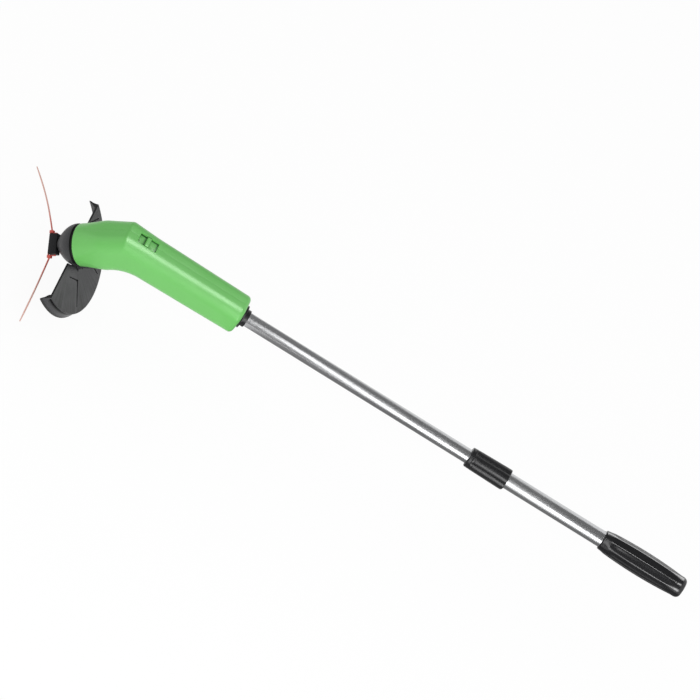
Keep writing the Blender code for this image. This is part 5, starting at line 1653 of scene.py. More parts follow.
@dataclass
class Guard:
    """The half-round guard: a plate, a step and a flared skirt, swept round and cut along a chord.

    Its outlines are (outwards, forward) pairs from its radius and its rear, or from the tongue's inner
    face for the tongue's side view. A mark's stroke has a start, an end and its width at both.
    """

    radius: float = 76.9
    rear: float = 67.8
    thickness: float = 2.2
    skirt: float = 12.0
    flare: float = 3.1
    lip: float = 1.6
    chord: float = 9.5
    chord_slant: float = 1.9
    notch_radius: float = 21.9
    notch_rim: float = 1.2
    steps: int = 150
    end_angle: float = 81.4
    edge_rounding: float = 0.35
    outside: Line = ((-1.2, 0.0), (-1.0, 0.9), (-3.0, 1.3), (-3.2, 3.2), (-0.6, 3.9), (0.5, 7.0),
                     (1.8, 9.3), (2.4, 10.3), (2.1, 10.7))
    closed_part: tuple[Flat, Flat, Flat] = ((-0.9, 1.3), (-0.6, 3.2), (-0.4, 3.9))
    inside: Line = ((-1.6, 7.4), (-5.0, 4.6), (-6.0, 2.2), (-7.2, 2.2))
    tongue_inner: float = 23.8
    tongue_bite: float = 0.8
    tongue_width: float = 18.0
    tongue_thickness: float = 2.5
    tongue_length: float = 34.0
    fillet: Line = ((0.0, -8.0), (0.7, -4.0), (2.2, -1.6), (5.0, -0.3))
    fillet_end: float = 6.0
    hole_span: Flat = (22.0, 33.0)
    screw_seat: float = 26.6
    marks: tuple[tuple[Flat, Flat, float, float], ...] = (
        ((21.8, 28.2), (37.4, 17.0), 1.5, 1.9), ((37.0, 15.9), (58.2, 36.7), 2.5, 1.3))
    mark_depth: float = 1.4
    mark_turns: Row = (0.0, -52.2, -104.4)

    def profile(self, closed: bool) -> list[Flat]:
        """Draws the guard's section with its edges rounded.

        Args:
            closed: Whether it is near an end, where the channel stops.

        Returns:
            The (radius, height) points.
        """
        front = self.rear + self.thickness
        tip = self.rear + self.skirt
        flare = self.radius + self.flare
        notch = self.notch_radius
        outside = (*self.outside[:2], *self.closed_part, *self.outside[5:]) if closed else self.outside
        points = [(notch, self.rear), (notch + self.notch_rim, self.rear), (self.radius - 2.4, self.rear)]
        points += [(self.radius + out, self.rear + forward) for out, forward in outside]
        points += [(flare, tip), (flare - self.lip, tip)]
        points += [(self.radius + out, self.rear + forward) for out, forward in self.inside]
        points += [(notch + self.notch_rim, front), (notch, front)]
        return rounded(points, self.edge_rounding, 3)

    def shade_at(self, at: Vector, normal: Vector) -> float:
        """Gives the painted shade on the guard: its chord's edge, the marks' walls, the channel and the lip.

        Args:
            at: A point, in head coordinates.
            normal: The face's normal there.

        Returns:
            The share of painted shade.
        """
        forward = at.z - self.rear
        out = math.hypot(at.x, at.y) - self.radius
        if at.x < self.chord + 0.4 and normal.x < -0.8:
            return 0.9
        if out < -6.5:
            return 0.95 if 0.05 < forward < self.thickness - 0.05 else 0.0
        if normal.x * at.x + normal.y * at.y < 0:
            return 1.0
        if 1.1 < forward < 4.4 and at.x > self.chord + 4.0:
            return 0.9
        return 0.95 if forward > 9.2 else 0.0

    def tongue(self) -> Thing:
        """The tongue that lies along the housing and carries the two screws."""
        inner = self.tongue_inner
        outer = inner + self.tongue_thickness
        end = self.rear - self.tongue_length
        bite = self.rear + self.tongue_bite
        side_view = [(inner, bite), (inner, end), (outer, end)]
        side_view += [(outer + out, self.rear + forward) for out, forward in self.fillet]
        side_view.append((outer + self.fillet_end, bite))
        return Draft().slab(rounded(side_view, 0.6, 3), self.tongue_width / 2).place("tongue", Axes.HEAD)

    def mark(self, stroke: tuple[Flat, Flat, float, float], degrees: float) -> Thing:
        """Draws a cutter for one stroke of a mark pressed into the plate.

        Args:
            stroke: Its start and end, and its width at both.
            degrees: Turn about the cutter's axis.

        Returns:
            The cutter.
        """
        start, end, first, last = stroke
        turn = Matrix.Rotation(math.radians(degrees), 3, "Z")
        low, high = Vector((*start, 0.0)), Vector((*end, 0.0))
        side = (high - low).normalized().cross(Z_AXIS)
        near, far = side * first / 2, side * last / 2
        flat = [low - near, high - far, high + far, low + near]
        levels = (self.rear - 1.0, self.rear + self.mark_depth)
        rings = [[turn @ (at + Z_AXIS * level) for at in flat] for level in levels]
        return Draft().loft(rings).place("mark", Axes.HEAD)

    def build(self) -> None:
        """Makes the guard and its two screws."""
        rings = []
        for step in range(self.steps + 1):
            angle = math.pi * (step / self.steps - 0.5)
            rings.append(swung(self.profile(abs(angle) > math.radians(self.end_angle)), angle))
        guard = Draft().loft(rings).place("guard_shield", Axes.HEAD)
        far = 2 * self.radius
        slant = self.chord_slant / self.skirt
        back, front = -5.0, 25.0
        cut = [(-far, self.rear + back), (self.chord - back * slant, self.rear + back),
               (self.chord - front * slant, self.rear + front), (-far, self.rear + front)]
        combine(guard, [Draft().slab(cut, far).place("chord", Axes.HEAD)])
        combine(guard, [self.tongue()], Joining.ADD)
        holes = Draft()
        places = [Vector((0, y, GUARD_SCREW_FORWARD)) for y in GUARD_SCREW_SIDES]
        for place in places:
            holes.rod(*(place + X_AXIS * x for x in self.hole_span), PILOT_RADIUS, 24)
        marks = [self.mark(stroke, degrees) for degrees in self.mark_turns for stroke in self.marks]
        combine(guard, [*marks, holes.place("tongue_holes", Axes.HEAD)])
        # Paints shade on the guard's chord edge, mark walls, channel and lip
        stain(guard, Axes.HEAD, self.shade_at)
        fit(guard, Body.HEAD, GREY, ["guard"])
        seat = X_AXIS * self.screw_seat
        seats = Seats(Axes.HEAD, [(place + seat, -X_AXIS, Y_AXIS + Z_AXIS) for place in places])
        Screws(head_radius=2.3, length=9.0).set_on("guard_screws", seats, ["guard_screw_1", "guard_screw_2"])


# Cutter


@dataclass
class Cutter:
    """The hub on the motor's shaft with a cable tie looped round the bar at each end."""

    rear: float = 84.6
    height: float = 10.4
    length: float = 23.0
    width: float = 10.4
    bevel: float = 1.1
    shaft_bore: tuple[float, float] = (1.3, 6.75)
    screw_bore: tuple[float, float] = (1.1, 7.28)
    slot_span: tuple[float, float] = (5.1, 3.4)
    loop_lift: float = 2.4
    loop_span: tuple[float, float] = (4.6, 1.4)
    tie_width: float = 2.5
    tie_thickness: float = 1.0
    tie_edge: float = 0.15
    tail: float = 77.0
    tail_start: float = 2.8
    tail_steps: int = 60
    taper_start: float = 0.8
    tip_share: float = 0.025
    channel: Flat = (0.45, 0.72)
    tilt_deg: float = 21.0
    bows: tuple[float, float] = (2.4, 0.6)
    head_size: float = 4.6
    head_back: float = 0.9
    head_front: float = 2.6
    window: tuple[float, float, float, float] = (0.2, 0.9, 0.9, 1.2)
    tooth_pitch: float = 1.05
    tooth_start: float = 0.06
    tooth_level: float = 0.34
    tooth_wedge: Line = ((-0.42, 0.0), (0.42, 0.0), (0.42, 0.06), (-0.3, 0.2))
    teeth: int = 52

    @property
    def front(self) -> float:
        """Forward end of the hub."""
        return self.rear + self.height

    @property
    def half(self) -> float:
        """Half the hub's length."""
        return self.length / 2

    @property
    def loop(self) -> tuple[float, float]:
        """Forward places of the tie's loop: its underside and its upper side."""
        return self.rear + self.loop_lift, self.front + GAP + self.tie_thickness + 0.2

    def build_hub(self) -> None:
        """Makes the hub block and the screw in its front."""
        half = self.half
        hub = Draft().box((-half, -self.width / 2, self.rear), (half, self.width / 2, self.front))
        block = soften(hub.place("hub_block", Axes.HUB), self.bevel, 4)
        (shaft, depth), (screw, start) = self.shaft_bore, self.screw_bore
        bore = Draft().rod(Z_AXIS * (self.rear - 2), Z_AXIS * (self.rear + depth), shaft, 32)
        bore.rod(Z_AXIS * (self.rear + start), Z_AXIS * (self.front + 2), screw, 24)
        low = self.loop[0] - GAP
        leg = low + 2 * GAP + self.tie_thickness + 0.2
        near, far = (half - back for back in self.slot_span)
        outline = ((near, low), (half + 3, low), (half + 3, leg), (far, leg), (far, self.front + 3),
                   (near, self.front + 3))
        slots = Draft()
        for side in (-1, 1):
            slots.slab([(side * x, z) for x, z in rounded(outline, 0.25, 2)], self.tie_width / 2 + GAP)
        combine(block, [bore.place("hub_bore", Axes.HUB), slots.place("hub_slots", Axes.HUB)])
        fit(block, Body.CUTTER, HUB_BLACK, ["line_hub"])
        seats = Seats(Axes.HUB, [(Z_AXIS * (self.front + GAP), -Z_AXIS, X_AXIS)])
        cap = Screws(head_radius=2.4, head_height=1.4, shank_radius=0.8, length=4.2, thread_pitch=0.7)
        cap.set_on("hub_cap_screw", seats, ["hub_screw"], Body.CUTTER)

    def band(self, side: int) -> Thing:
        """Draws the tie's loop round the bar, with rounded turns.

        Args:
            side: 1 for the hub's +X end, or -1.

        Returns:
            The loop.
        """
        low, high = self.loop
        near, far = self.half - self.loop_span[0], self.half + self.loop_span[1]
        thick = self.tie_thickness
        outer = rounded(rectangle((near, low), (far, high)), 1.1, 5)
        inner = rounded(rectangle((near + thick, low + thick), (far - thick, high - thick)), 0.35, 5)
        edge = self.tie_edge
        wide = self.tie_width / 2
        section = ((0, edge - wide), (0, wide - edge), (edge, wide), (1 - edge, wide), (1, wide - edge),
                   (1, edge - wide), (1 - edge, -wide), (edge, -wide))
        rings = []
        for (x, z), (u, v) in zip(outer, inner):
            rings.append([Vector((side * mix(x, u, deep), y, mix(z, v, deep))) for deep, y in section])
        return Draft().loft(rings, caps=False).place("band", Axes.HUB)

    def tail_point(self, side: int, bow: float, share: float) -> tuple[Vector, Vector]:
        """Finds a point down the middle of the tail.

        Args:
            side: 1 for the hub's +X end, or -1.
            bow: How far the tail's middle sags.
            share: How far down the tail, from 0 to 1.

        Returns:
            The point and the direction out of the toothed face.
        """
        high = self.loop[1]
        tilt = math.radians(self.tilt_deg)
        root = Vector((side * (self.half + self.tail_start), 0, high - self.head_size / 2))
        along = Vector((side * math.cos(tilt), 0, math.sin(tilt)))
        normal = Vector((-side * math.sin(tilt), 0, math.cos(tilt)))
        return root + along * (self.tail * share) - normal * (bow * math.sin(math.pi * share)), normal

    def ribbon(self, side: int, bow: float) -> Thing:
        """Draws the stiff tail, which narrows to its tip.

        Args:
            side: 1 for the hub's +X end, or -1.
            bow: How far the tail's middle sags.

        Returns:
            The tail.
        """
        rings = []
        wide = self.tie_width / 2
        thick = self.tie_thickness / 2
        floor, level = self.channel
        for step in range(self.tail_steps + 1):
            share = step / self.tail_steps
            centre, normal = self.tail_point(side, bow, share)
            taper = max(0.0, share - self.taper_start) / (1 - self.taper_start)
            end = max(0.0, share - 1 + self.tip_share) / self.tip_share
            half = mix(wide, wide / 2, taper) * math.sqrt(max(0.04, 1 - end**2))
            right = ((half, -0.6), (half, 0.6), (half - 0.2, 1.0), ((1 - floor) * half, 1.0),
                     (floor * half, level))
            left = [(-y, rise) for y, rise in reversed(right)]
            section = (*right, *left, (0.2 - half, -1.0), (half - 0.2, -1.0))
            rings.append([centre + Y_AXIS * y + normal * (rise * thick) for y, rise in section])
        return Draft().loft(rings).place("ribbon", Axes.HUB)

    def build_tie(self, number: int, side: int) -> None:
        """Makes one cable tie: the loop, the ratchet head, the tail and its teeth.

        Args:
            number: 1 or 2.
            side: 1 for the hub's +X end, or -1.
        """
        bow = self.bows[number - 1]
        high = self.loop[1]
        far = self.half + self.loop_span[1]
        half = self.head_size / 2
        low = high - self.head_size
        head = Draft().box((side * (far - self.head_back), -half, low),
                           (side * (far + self.head_front), half, high + 0.2))
        block = soften(head.place("ratchet_head", Axes.HUB), 0.6, 3)
        back, front, across, up = self.window
        window = Draft().box((side * (far - back), -across, low - 1),
                             (side * (far + front), across, low + up))
        combine(block, [window.place("window", Axes.HUB)])
        teeth = Seats(Axes.HUB, [])
        for index in range(self.teeth):
            share = self.tooth_start + index * self.tooth_pitch / self.tail
            centre, normal = self.tail_point(side, bow, share)
            ahead, _ = self.tail_point(side, bow, share + 0.01)
            teeth.places.append((centre + normal * self.tooth_level, normal, (ahead - centre).normalized()))
        tie = combine(self.band(side), [block, self.ribbon(side, bow)], Joining.ADD)
        tooth = Draft().slab(self.tooth_wedge, 0.5)
        whole = merged([tie, teeth.filled("teeth", tooth, NYLON)], f"line_tie_{number}")
        fit(whole, Body.CUTTER, NYLON, [f"cable_tie_{number}"], 35.0)

    def build(self) -> None:
        """Makes the hub and both ties."""
        self.build_hub()
        self.build_tie(1, -1)
        self.build_tie(2, 1)


# Switch


@dataclass
class Switch:
    """The slide with its thumb ridge."""

    start: float = 3.4
    end: float = 33.0
    half_width: float = 8.1
    middle: float = 14.9
    top: float = 18.8
    plate: float = 1.3
    ridge: float = 5.8
    ridge_foot: float = 18.1
    ridge_top: float = 22.4
    ridge_taper: float = 0.6
    ridge_width: float = 13.4
    shade_side: float = 7.0
    shade_side_fade: float = 2.2
    shade_end: float = 26.8
    shade_end_fade: float = 2.4
    ridge_shade_fade: float = 2.0

    @property
    def ridge_left(self) -> float:
        """Where the ridge starts."""
        return self.middle - self.ridge / 2

    def build(self) -> None:
        """Makes the slide."""
        plate = Draft().box((self.start, -self.half_width, self.top - self.plate),
                            (self.end, self.half_width, self.top))
        slide = soften(plate.place("thumb_slide", Axes.KNEE), 0.25, 2)
        foot, head = self.ridge / 2, self.ridge / 2 - self.ridge_taper
        side_view = [(-foot, self.ridge_foot), (foot, self.ridge_foot), (head, self.ridge_top),
                     (-head, self.ridge_top)]
        placed = [(self.middle + x, z) for x, z in side_view]
        ridge = Draft().slab(placed, self.ridge_width / 2).place("ridge", Axes.KNEE)
        soften(ridge, 0.9, 4)
        combine(slide, [ridge], Joining.ADD)
        left = self.ridge_left
        across = (left - self.ridge_shade_fade, left, self.shade_end - self.shade_end_fade, self.shade_end)
        along = (self.shade_side - self.shade_side_fade, self.shade_side)
        cuts = [(X_AXIS * x, X_AXIS) for x in across] + [(Y_AXIS * y, Y_AXIS) for y in along]
        slice_mesh(slide, Axes.KNEE, cuts)
        # Paints shadow on the slide where its walls and ridge would cast it
        stain(slide, Axes.KNEE, self.shade_at)
        fit(slide, Body.SWITCH, GREEN, ["switch_slider"])

    def shade_at(self, at: Vector, normal: Vector) -> float:
        """Gives the painted shadow on the slide: along its far side, left of the ridge and at its end.

        Args:
            at: A point, in knee coordinates.
            normal: The face's normal there.

        Returns:
            The share of painted shadow.
        """
        if at.z > self.top + 0.1:
            return 0.85 if normal.x < -0.7 and at.z < self.top + 1.5 else 0.0
        left = self.ridge_left
        shares = [1 + (at.y - self.shade_side) / self.shade_side_fade,
                  1 + (at.x - self.shade_end) / self.shade_end_fade]
        if at.x <= left + 0.01:
            shares.append(1 + (at.x - left) / self.ridge_shade_fade)
        return 0.9 * min(1.0, max(0.0, *shares))


# Pole


@dataclass
class Pole:
    """The socket, both tubes, the twist collar and the hand grip, all turned about the pole.

    The pairs of a skin, bore or mouth are a radius and a distance from where the piece starts or ends.
    The grip's barrel, bulge and dome are shares of its length and radius, with the power of a curve last.
    """

    handle_end: float = 145.0
    inner_radius: float = 8.25
    outer_radius: float = 9.35
    tube_wall: float = 0.7
    inner_start: float = 134.8
    inner_end: float = 519.8
    outer_start: float = 452.0
    outer_end: float = 692.7
    neck_radii: Row = (3.0, 10.0, 13.4, 13.8)
    neck_rim: float = 2.3
    neck_sleeve: float = 4.7
    neck_ledge: float = 3.3
    neck_flange: float = 2.4
    neck_depth: float = 12.0
    neck_floor: float = 1.5
    collar_start: float = 437.0
    collar_length: float = 49.0
    collar_skin: Line = ((9.0, 0.0), (10.8, 0.0), (11.3, 0.25), (11.6, 0.9), (11.7, 4.2), (12.0, 4.8),
                         (12.4, 8.0), (13.05, 43.0), (13.0, 48.0), (12.8, 48.6), (12.4, 49.0))
    collar_bore: Line = ((9.95, 49.0), (9.65, 48.7), (9.65, 13.6), (10.2, 13.6), (10.2, 3.0), (8.65, 3.0),
                         (8.65, 0.3))
    collar_lobes: int = 6
    collar_turn_deg: float = 5.0
    collar_groove: float = 1.75
    grip_start: float = 609.0
    grip_length: float = 104.0
    grip_mouth: Line = ((9.65, 0.3), (9.95, 0.0), (10.4, 0.0), (10.9, 0.15), (11.3, 0.6), (11.4, 1.25),
                        (11.95, 5.2))
    grip_radius: float = 14.25
    grip_ends: Flat = (11.8, 11.6)
    grip_barrel: Flat = (0.08, 0.84)
    grip_bulge: Row = (0.01, 0.96, 0.8)
    grip_dome: Row = (0.06, 0.55, 0.8)
    grip_steps: int = 84
    grip_flutes: int = 10
    grip_turn_deg: float = 28.3
    grip_groove: float = 0.7
    grip_bore: float = 84.0
    grip_hole: float = 3.0

    def build_neck(self) -> None:
        """Makes the black socket in the handle's end."""
        bore = self.inner_radius + GAP
        hole, sleeve, rim, flange = self.neck_radii
        out = self.handle_end + GAP
        front = out + self.neck_rim
        tip = front + self.neck_sleeve
        ledge = self.handle_end - self.neck_ledge
        back = ledge - self.neck_flange
        low = self.handle_end - self.neck_depth
        floor = low + self.neck_floor
        points = [(bore, tip), (sleeve, tip), (sleeve, front), (rim, front), (rim, out), (sleeve, out),
                  (sleeve, ledge), (flange, ledge), (flange, back), (sleeve, back), (sleeve, low),
                  (hole, low), (hole, floor), (bore, floor)]
        neck = Draft().turned(rounded(points, 0.5), 120).place("neck_collar", Axes.POLE)
        fit(neck, Body.HEAD, BLACK, ["neck_socket"])

    def build_tubes(self) -> None:
        """Makes the two tubes with rolled ends."""
        spans = (("thin_tube", "inner_tube", self.inner_radius, self.inner_start, self.inner_end, Body.HEAD),
                 ("wide_tube", "outer_tube", self.outer_radius, self.outer_start, self.outer_end, Body.POLE))
        for name, node, radius, low, high, body in spans:
            section = rectangle((radius - self.tube_wall, high), (radius, low))
            tube = Draft().turned(rounded(section, 0.3), 128).place(name, Axes.POLE)
            fit(tube, body, STEEL, [node])

    @staticmethod
    def fluted(name: str, profile: list[Flat], steps: int, turn_deg: float,
               values: dict[str, float]) -> Thing:
        """Turns a profile and presses flutes into it.

        Args:
            name: Name of the piece.
            profile: Its closed section.
            steps: Divisions of the turn.
            turn_deg: Angle of the first ridge or groove.
            values: The fluting tree's sizes.

        Returns:
            The piece, in place.
        """
        turn = math.radians(turn_deg)
        body = Draft().turned(profile, steps, turn).place(name, Axes.POLE)
        body.data.transform(Axes.POLE.matrix.inverted())
        fluted_sleeve.grow(body, BLACK, {"Turn": turn, **values})
        body.data.transform(Axes.POLE.matrix)
        return body

    @staticmethod
    def spaced(knots: Sequence[Flat], step: float) -> list[Flat]:
        """Adds points between the knots of a line.

        Args:
            knots: The knots.
            step: How far apart two points may be.

        Returns:
            The knots with the points between them.
        """
        points = [knots[0]]
        for first, second in zip(knots, knots[1:]):
            count = max(1, math.ceil(math.dist(first, second) / step))
            for index in range(1, count + 1):
                points.append(tuple(mix(a, b, index / count) for a, b in zip(first, second)))
        return points

    def build_collar(self) -> None:
        """Makes the twist collar: six broad lobes that meet in narrow grooves."""
        start = self.collar_start
        end = start + self.collar_length
        outline = self.spaced(self.collar_skin, 0.8) + list(self.collar_bore)
        profile = [(radius, start + along) for radius, along in outline]
        collar = self.fluted("twist_collar", profile, self.collar_lobes * 44, self.collar_turn_deg, {
            "Repeats": float(self.collar_lobes), "Depth": self.collar_groove, "Power": 0.8, "Ridges": 0.0,
            "Fade In Start": start + 4.3, "Fade In End": start + 7.0, "Fade Out Start": end + 8.0,
            "Fade Out End": end + 9.0, "Skin Low": 10.3, "Skin High": 11.4})
        fit(collar, Body.COLLAR, BLACK, ["lock_collar"], 40.0)

    def grip_profile(self) -> list[Flat]:
        """Draws the hand grip's section: its mouth, its barrel, its domed end and its bore.

        Returns:
            The (radius, height) points.
        """
        start, length = self.grip_start, self.grip_length
        points = [(radius, start + along) for radius, along in self.grip_mouth]
        first, span = self.grip_barrel
        shift, whole, power = self.grip_bulge
        for index in range(1, self.grip_steps):
            share = first + span * index / self.grip_steps
            bulge = math.sin(math.pi * (share + shift) / whole) ** power
            points.append((mix(mix(*self.grip_ends, share), self.grip_radius, bulge), start + length * share))
        last = points[-1][0]
        depth, narrow, power = self.grip_dome
        for angle in quarter_turn(14)[1:]:
            share = 1 - depth * (1 - math.sin(angle))
            width = mix(narrow, 1.0, max(0.0, math.cos(angle)) ** power)
            points.append((last * width, start + length * share))
        deep = start + self.grip_bore
        middle = 0.05
        return points + [(self.grip_hole, start + length), (middle, start + length), (middle, deep),
                         (self.grip_mouth[0][0], deep)]

    def build_grip(self) -> None:
        """Makes the hand grip: a barrel with ten flutes that meet in fine ridges, and a domed end."""
        start = self.grip_start
        grip = self.fluted("hand_grip", self.grip_profile(), self.grip_flutes * 32, self.grip_turn_deg, {
            "Repeats": float(self.grip_flutes), "Depth": self.grip_groove, "Power": 1.35, "Ridges": 1.0,
            "Fade In Start": start + 2.0, "Fade In End": start + 20.0, "Fade Out Start": start + 78.0,
            "Fade Out End": start + 97.0, "Skin Low": 10.2, "Skin High": 11.2})
        fit(grip, Body.POLE, GRIP_BLACK, ["grip"], 50.0)

    def build(self) -> None:
        """Makes every piece along the pole."""
        self.build_neck()
        self.build_tubes()
        self.build_collar()
        self.build_grip()


# Cells and leads


@dataclass
class Cells:
    """Four cells in two rows of two, with the springs at the end towards the bend.

    The pairs of a cell's foot are (radius, height) points, and those of its shoulder are drawn in from
    its radius and down from its shoulder.
    """

    starts: tuple[float, float] = (28.6, 79.4)
    length: float = 50.5
    radius: float = 7.25
    drop: float = 9.2
    half_spacing: float = 7.4
    nub_radius: float = 2.7
    nub_height: float = 1.2
    foot: Line = ((0.05, 0.25), (5.4, 0.25), (5.8, 0.0), (6.7, 0.0))
    crimp: Line = ((0.0, 3.2), (0.35, 2.7), (0.35, 2.3), (0.0, 1.8), (0.0, 0.5), (0.5, 0.0))
    spring_start: float = 23.5
    spring: dict[str, float] = field(default_factory=lambda: {
        "Turns": 3.0, "Wide": 3.4, "Narrow": 2.04, "Length": 4.1, "Wire": 0.4})

    def cell(self) -> Draft:
        """One cell about Z: a crimped can, a sleeve that folds over its ends, and a nub."""
        r, nub, top = self.radius, self.nub_radius, self.length
        shoulder = top - self.nub_height
        profile = [*self.foot, (r - 0.05, 0.5), (r, 1.2)]
        profile += [(r - inwards, shoulder - down) for inwards, down in self.crimp]
        profile += [(4.2, shoulder), (4.0, shoulder - 0.4), (2.9, shoulder - 0.4), (nub, shoulder),
                    (nub, top - 0.3), (nub - 0.4, top), (0.05, top)]
        return Draft().turned(profile, 56)

    def build(self) -> None:
        """Makes the cells and the springs."""
        rows = [(start, side) for start in self.starts for side in (-1, 1)]
        for number, (start, side) in enumerate(rows, 1):
            place = Vector((start, side * self.half_spacing, -self.drop))
            cell = Seats(Axes.KNEE, [(place, X_AXIS, Y_AXIS)]).filled(f"cell_{number}", self.cell(), CELL)
            fit(cell, Body.HEAD, CELL, [f"battery_{number}"])
        turn = Matrix.Rotation(math.pi / 2, 4, "Y")
        for number, side in ((1, -1), (2, 1)):
            spring = Draft().place(f"coil_spring_{number}", Axes.KNEE)
            narrowing_spring.grow(spring, ZINC, self.spring)
            seat = Matrix.Translation((self.spring_start, side * self.half_spacing, -self.drop))
            spring.data.transform(Axes.KNEE.matrix @ seat @ turn)
            fit(spring, Body.HEAD, ZINC, [f"contact_spring_{number}"], 60.0)


@dataclass
class Leads:
    """The three insulated leads, each a bar that runs along its route."""

    radius: float = 0.65
    bend_radius: float = 2.2
    sides: int = 14

    def routes(self) -> dict[str, tuple[Finish, list[Sequence[float]]]]:
        """Lists each lead's route.

        Returns:
            The lead's finish and its points in knee coordinates, by its node.
        """
        point = Housing.head_point
        to_switch = [(19.3, -9.0, -4.0), (18.5, -9.6, -0.5), (20.0, -9.8, 2.6), (27.9, -9.8, 3.0),
                     (29.4, -8.0, 6.0), (28.5, -4.0, 10.8), (26.1, -1.6, 10.8)]
        from_switch = [(3.7, -1.6, 10.8), (1.5, -3.0, 8.8), (2.9, -7.4, 3.0), point(6.4, -3.0, -8.4),
                       point(8.4, 0.0, -8.5)]
        to_motor = [(19.3, 9.0, -4.0), (16.0, 9.4, -3.5), (10.5, 9.2, -4.5), point(4.4, 1.5, 8.8),
                    point(8.4, 0.0, 8.5)]
        return {"wire_tray_to_switch": (RED_LEAD, to_switch), "wire_switch_to_motor": (RED_LEAD, from_switch),
                "wire_tray_to_motor": (BLACK_LEAD, to_motor)}

    def build(self) -> None:
        """Makes the leads."""
        values = {"Radius": self.radius, "Bend Radius": self.bend_radius, "Sides": self.sides}
        for node, (finish, route) in self.routes().items():
            edges = [(number - 1, number) for number in range(1, len(route))]
            lead = from_points(node.replace("wire", "lead"), route, edges)
            bar_along_path.grow(lead, finish, values)
            lead.data.transform(Axes.KNEE.matrix)
            fit(lead, Body.HEAD, finish, [node], 60.0)


# Other insides


@dataclass
class Insides:
    """Inside pieces whose solids have the right shape: smooth copies with their own finishes."""

    frame: dict
    dressed: dict[str, Finish] = field(default_factory=lambda: {
        "battery_tray": BLACK, "contact_plate_1": ZINC, "contact_plate_2": ZINC, "switch_body": ZINC,
        "switch_lever": BLACK, "motor_can": ZINC, "motor_end_bell": BLACK, "motor_mount_plate": BLACK,
        "motor_shaft": STEEL, "motor_armature": COPPER, "motor_commutator": BRASS, "motor_magnet_1": FERRITE,
        "motor_magnet_2": FERRITE, "motor_terminal_1": BRASS, "motor_terminal_2": BRASS,
        "motor_screw_1": ZINC, "motor_screw_2": ZINC, "collar_collet": GREY, "tube_glide": BLACK,
        "pole_plug": BLACK})

    def build(self) -> None:
        """Makes the copies."""
        for node, finish in self.dressed.items():
            source = self.frame["nodes"][node]
            shape = bmesh.new()
            shape.from_mesh(source.data)
            bmesh.ops.remove_doubles(shape, verts=shape.verts, dist=1e-6)
            fit(from_shape("fine_" + node, shape), Body(source["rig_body"]), finish, [node])


# Studio


WHITE = (1.0, 1.0, 1.0, 1.0)


def ring_point(x: float, degrees: float, radius: float) -> Vector:
    """A point on a circle round the pole's axis, with 90 degrees straight up and 180 towards -Y."""
    angle = math.radians(degrees)
    return Vector((x, radius * math.cos(angle), radius * math.sin(angle)))


def show_card(name: str, points: Sequence[Vector], faces: Sequence[Sequence[int]],
              levels: Sequence[float]) -> None:
    """Makes a card that glows by itself and that only glossy rays meet.

    Args:
        name: The card's name.
        points: Its points.
        faces: Its faces.
        levels: How bright it looks at each point, where 1 is white.
    """
    card = from_points(name, points, faces=faces)
    card.data.attributes.new("level", "FLOAT", "POINT").data.foreach_set("value", levels)
    material = bpy.data.materials.new(name)
    sheet = NodeSheet.emptied(material)
    level = sheet.add("ShaderNodeAttribute", attribute_name="level", attribute_type="GEOMETRY").outputs["Fac"]
    glow = sheet.add("ShaderNodeEmission", {"Color": WHITE, "Strength": level})
    sheet.add("ShaderNodeOutputMaterial", {"Surface": glow.outputs[0]})
    card.data.materials.append(material)
    for rays in ("camera", "diffuse", "transmission", "volume_scatter", "shadow"):
        setattr(card, f"visible_{rays}", False)
    card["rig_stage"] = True


@dataclass(frozen=True)
class Card:
    """A card or window bent round the pole's axis, which only reflections show.

    A row is a place along the pole, the span of angles there and how bright it looks, where 1 is white.
    """

    name: str
    radius: float
    rows: tuple[tuple[float, float, float, float], ...]
    steps: int = 24

    def hang(self) -> None:
        """Makes the card through its rows."""
        shares = [step / self.steps for step in range(self.steps + 1)]
        points = [ring_point(x, mix(first, last, share), self.radius)
                  for x, first, last, _ in self.rows for share in shares]
        levels = [level for *_, level in self.rows for _ in shares]
        across = len(shares)
        corners = [row * across + step for row in range(len(self.rows) - 1) for step in range(self.steps)]
        faces = [(near, near + 1, near + 1 + across, near + across) for near in corners]
        show_card(self.name, points, faces, levels)


TUBE_WINDOW = Card("tube_window", 1.4, (
    (-0.45, 90.0, 132.0, 3.4), (-0.37, 101.0, 142.0, 3.4), (-0.34, 106.0, 146.0, 3.4),
    (-0.29, 118.0, 152.0, 3.4), (-0.23, 128.0, 162.0, 3.4), (-0.12, 143.0, 179.0, 3.6),
    (-0.01, 147.0, 188.0, 3.8), (0.04, 149.0, 189.0, 4.0), (0.09, 160.0, 197.0, 5.5),
    (0.9, 162.0, 202.0, 5.5)))
HIGH_CARD = Card("high_card", 1.6, (
    (-3.4, 2.0, 186.0, 0.26), (-0.37, 2.0, 186.0, 0.26), (-0.20, 16.0, 186.0, 0.24),
    (-0.10, 36.0, 186.0, 0.22), (0.0, 48.0, 186.0, 0.20), (0.9, 50.0, 186.0, 0.20)))


@dataclass(frozen=True)
class Lamp:
    """A soft rectangular lamp that the camera doesn't see, with its width along X.

    Its level is how bright its face is, where 1 is white.
    """

    name: str
    size: tuple[float, float]
    level: float

    def hang(self, at: Vector, faces: Vector) -> Thing:
        """Hangs the lamp.

        Args:
            at: Its middle.
            faces: The point it faces.

        Returns:
            The lamp.
        """
        data = bpy.data.lights.new(self.name, "AREA")
        data.shape = "RECTANGLE"
        data.size, data.size_y = self.size
        data.energy = self.level * math.pi * data.size * data.size_y
        lamp = linked(self.name, data)
        back = (at - faces).normalized()
        right = (X_AXIS - back * back.x).normalized()
        turn = Matrix((right, back.cross(right), back)).transposed().to_4x4()
        lamp.matrix_world = Matrix.Translation(at) @ turn
        lamp.visible_camera = False
        return lamp


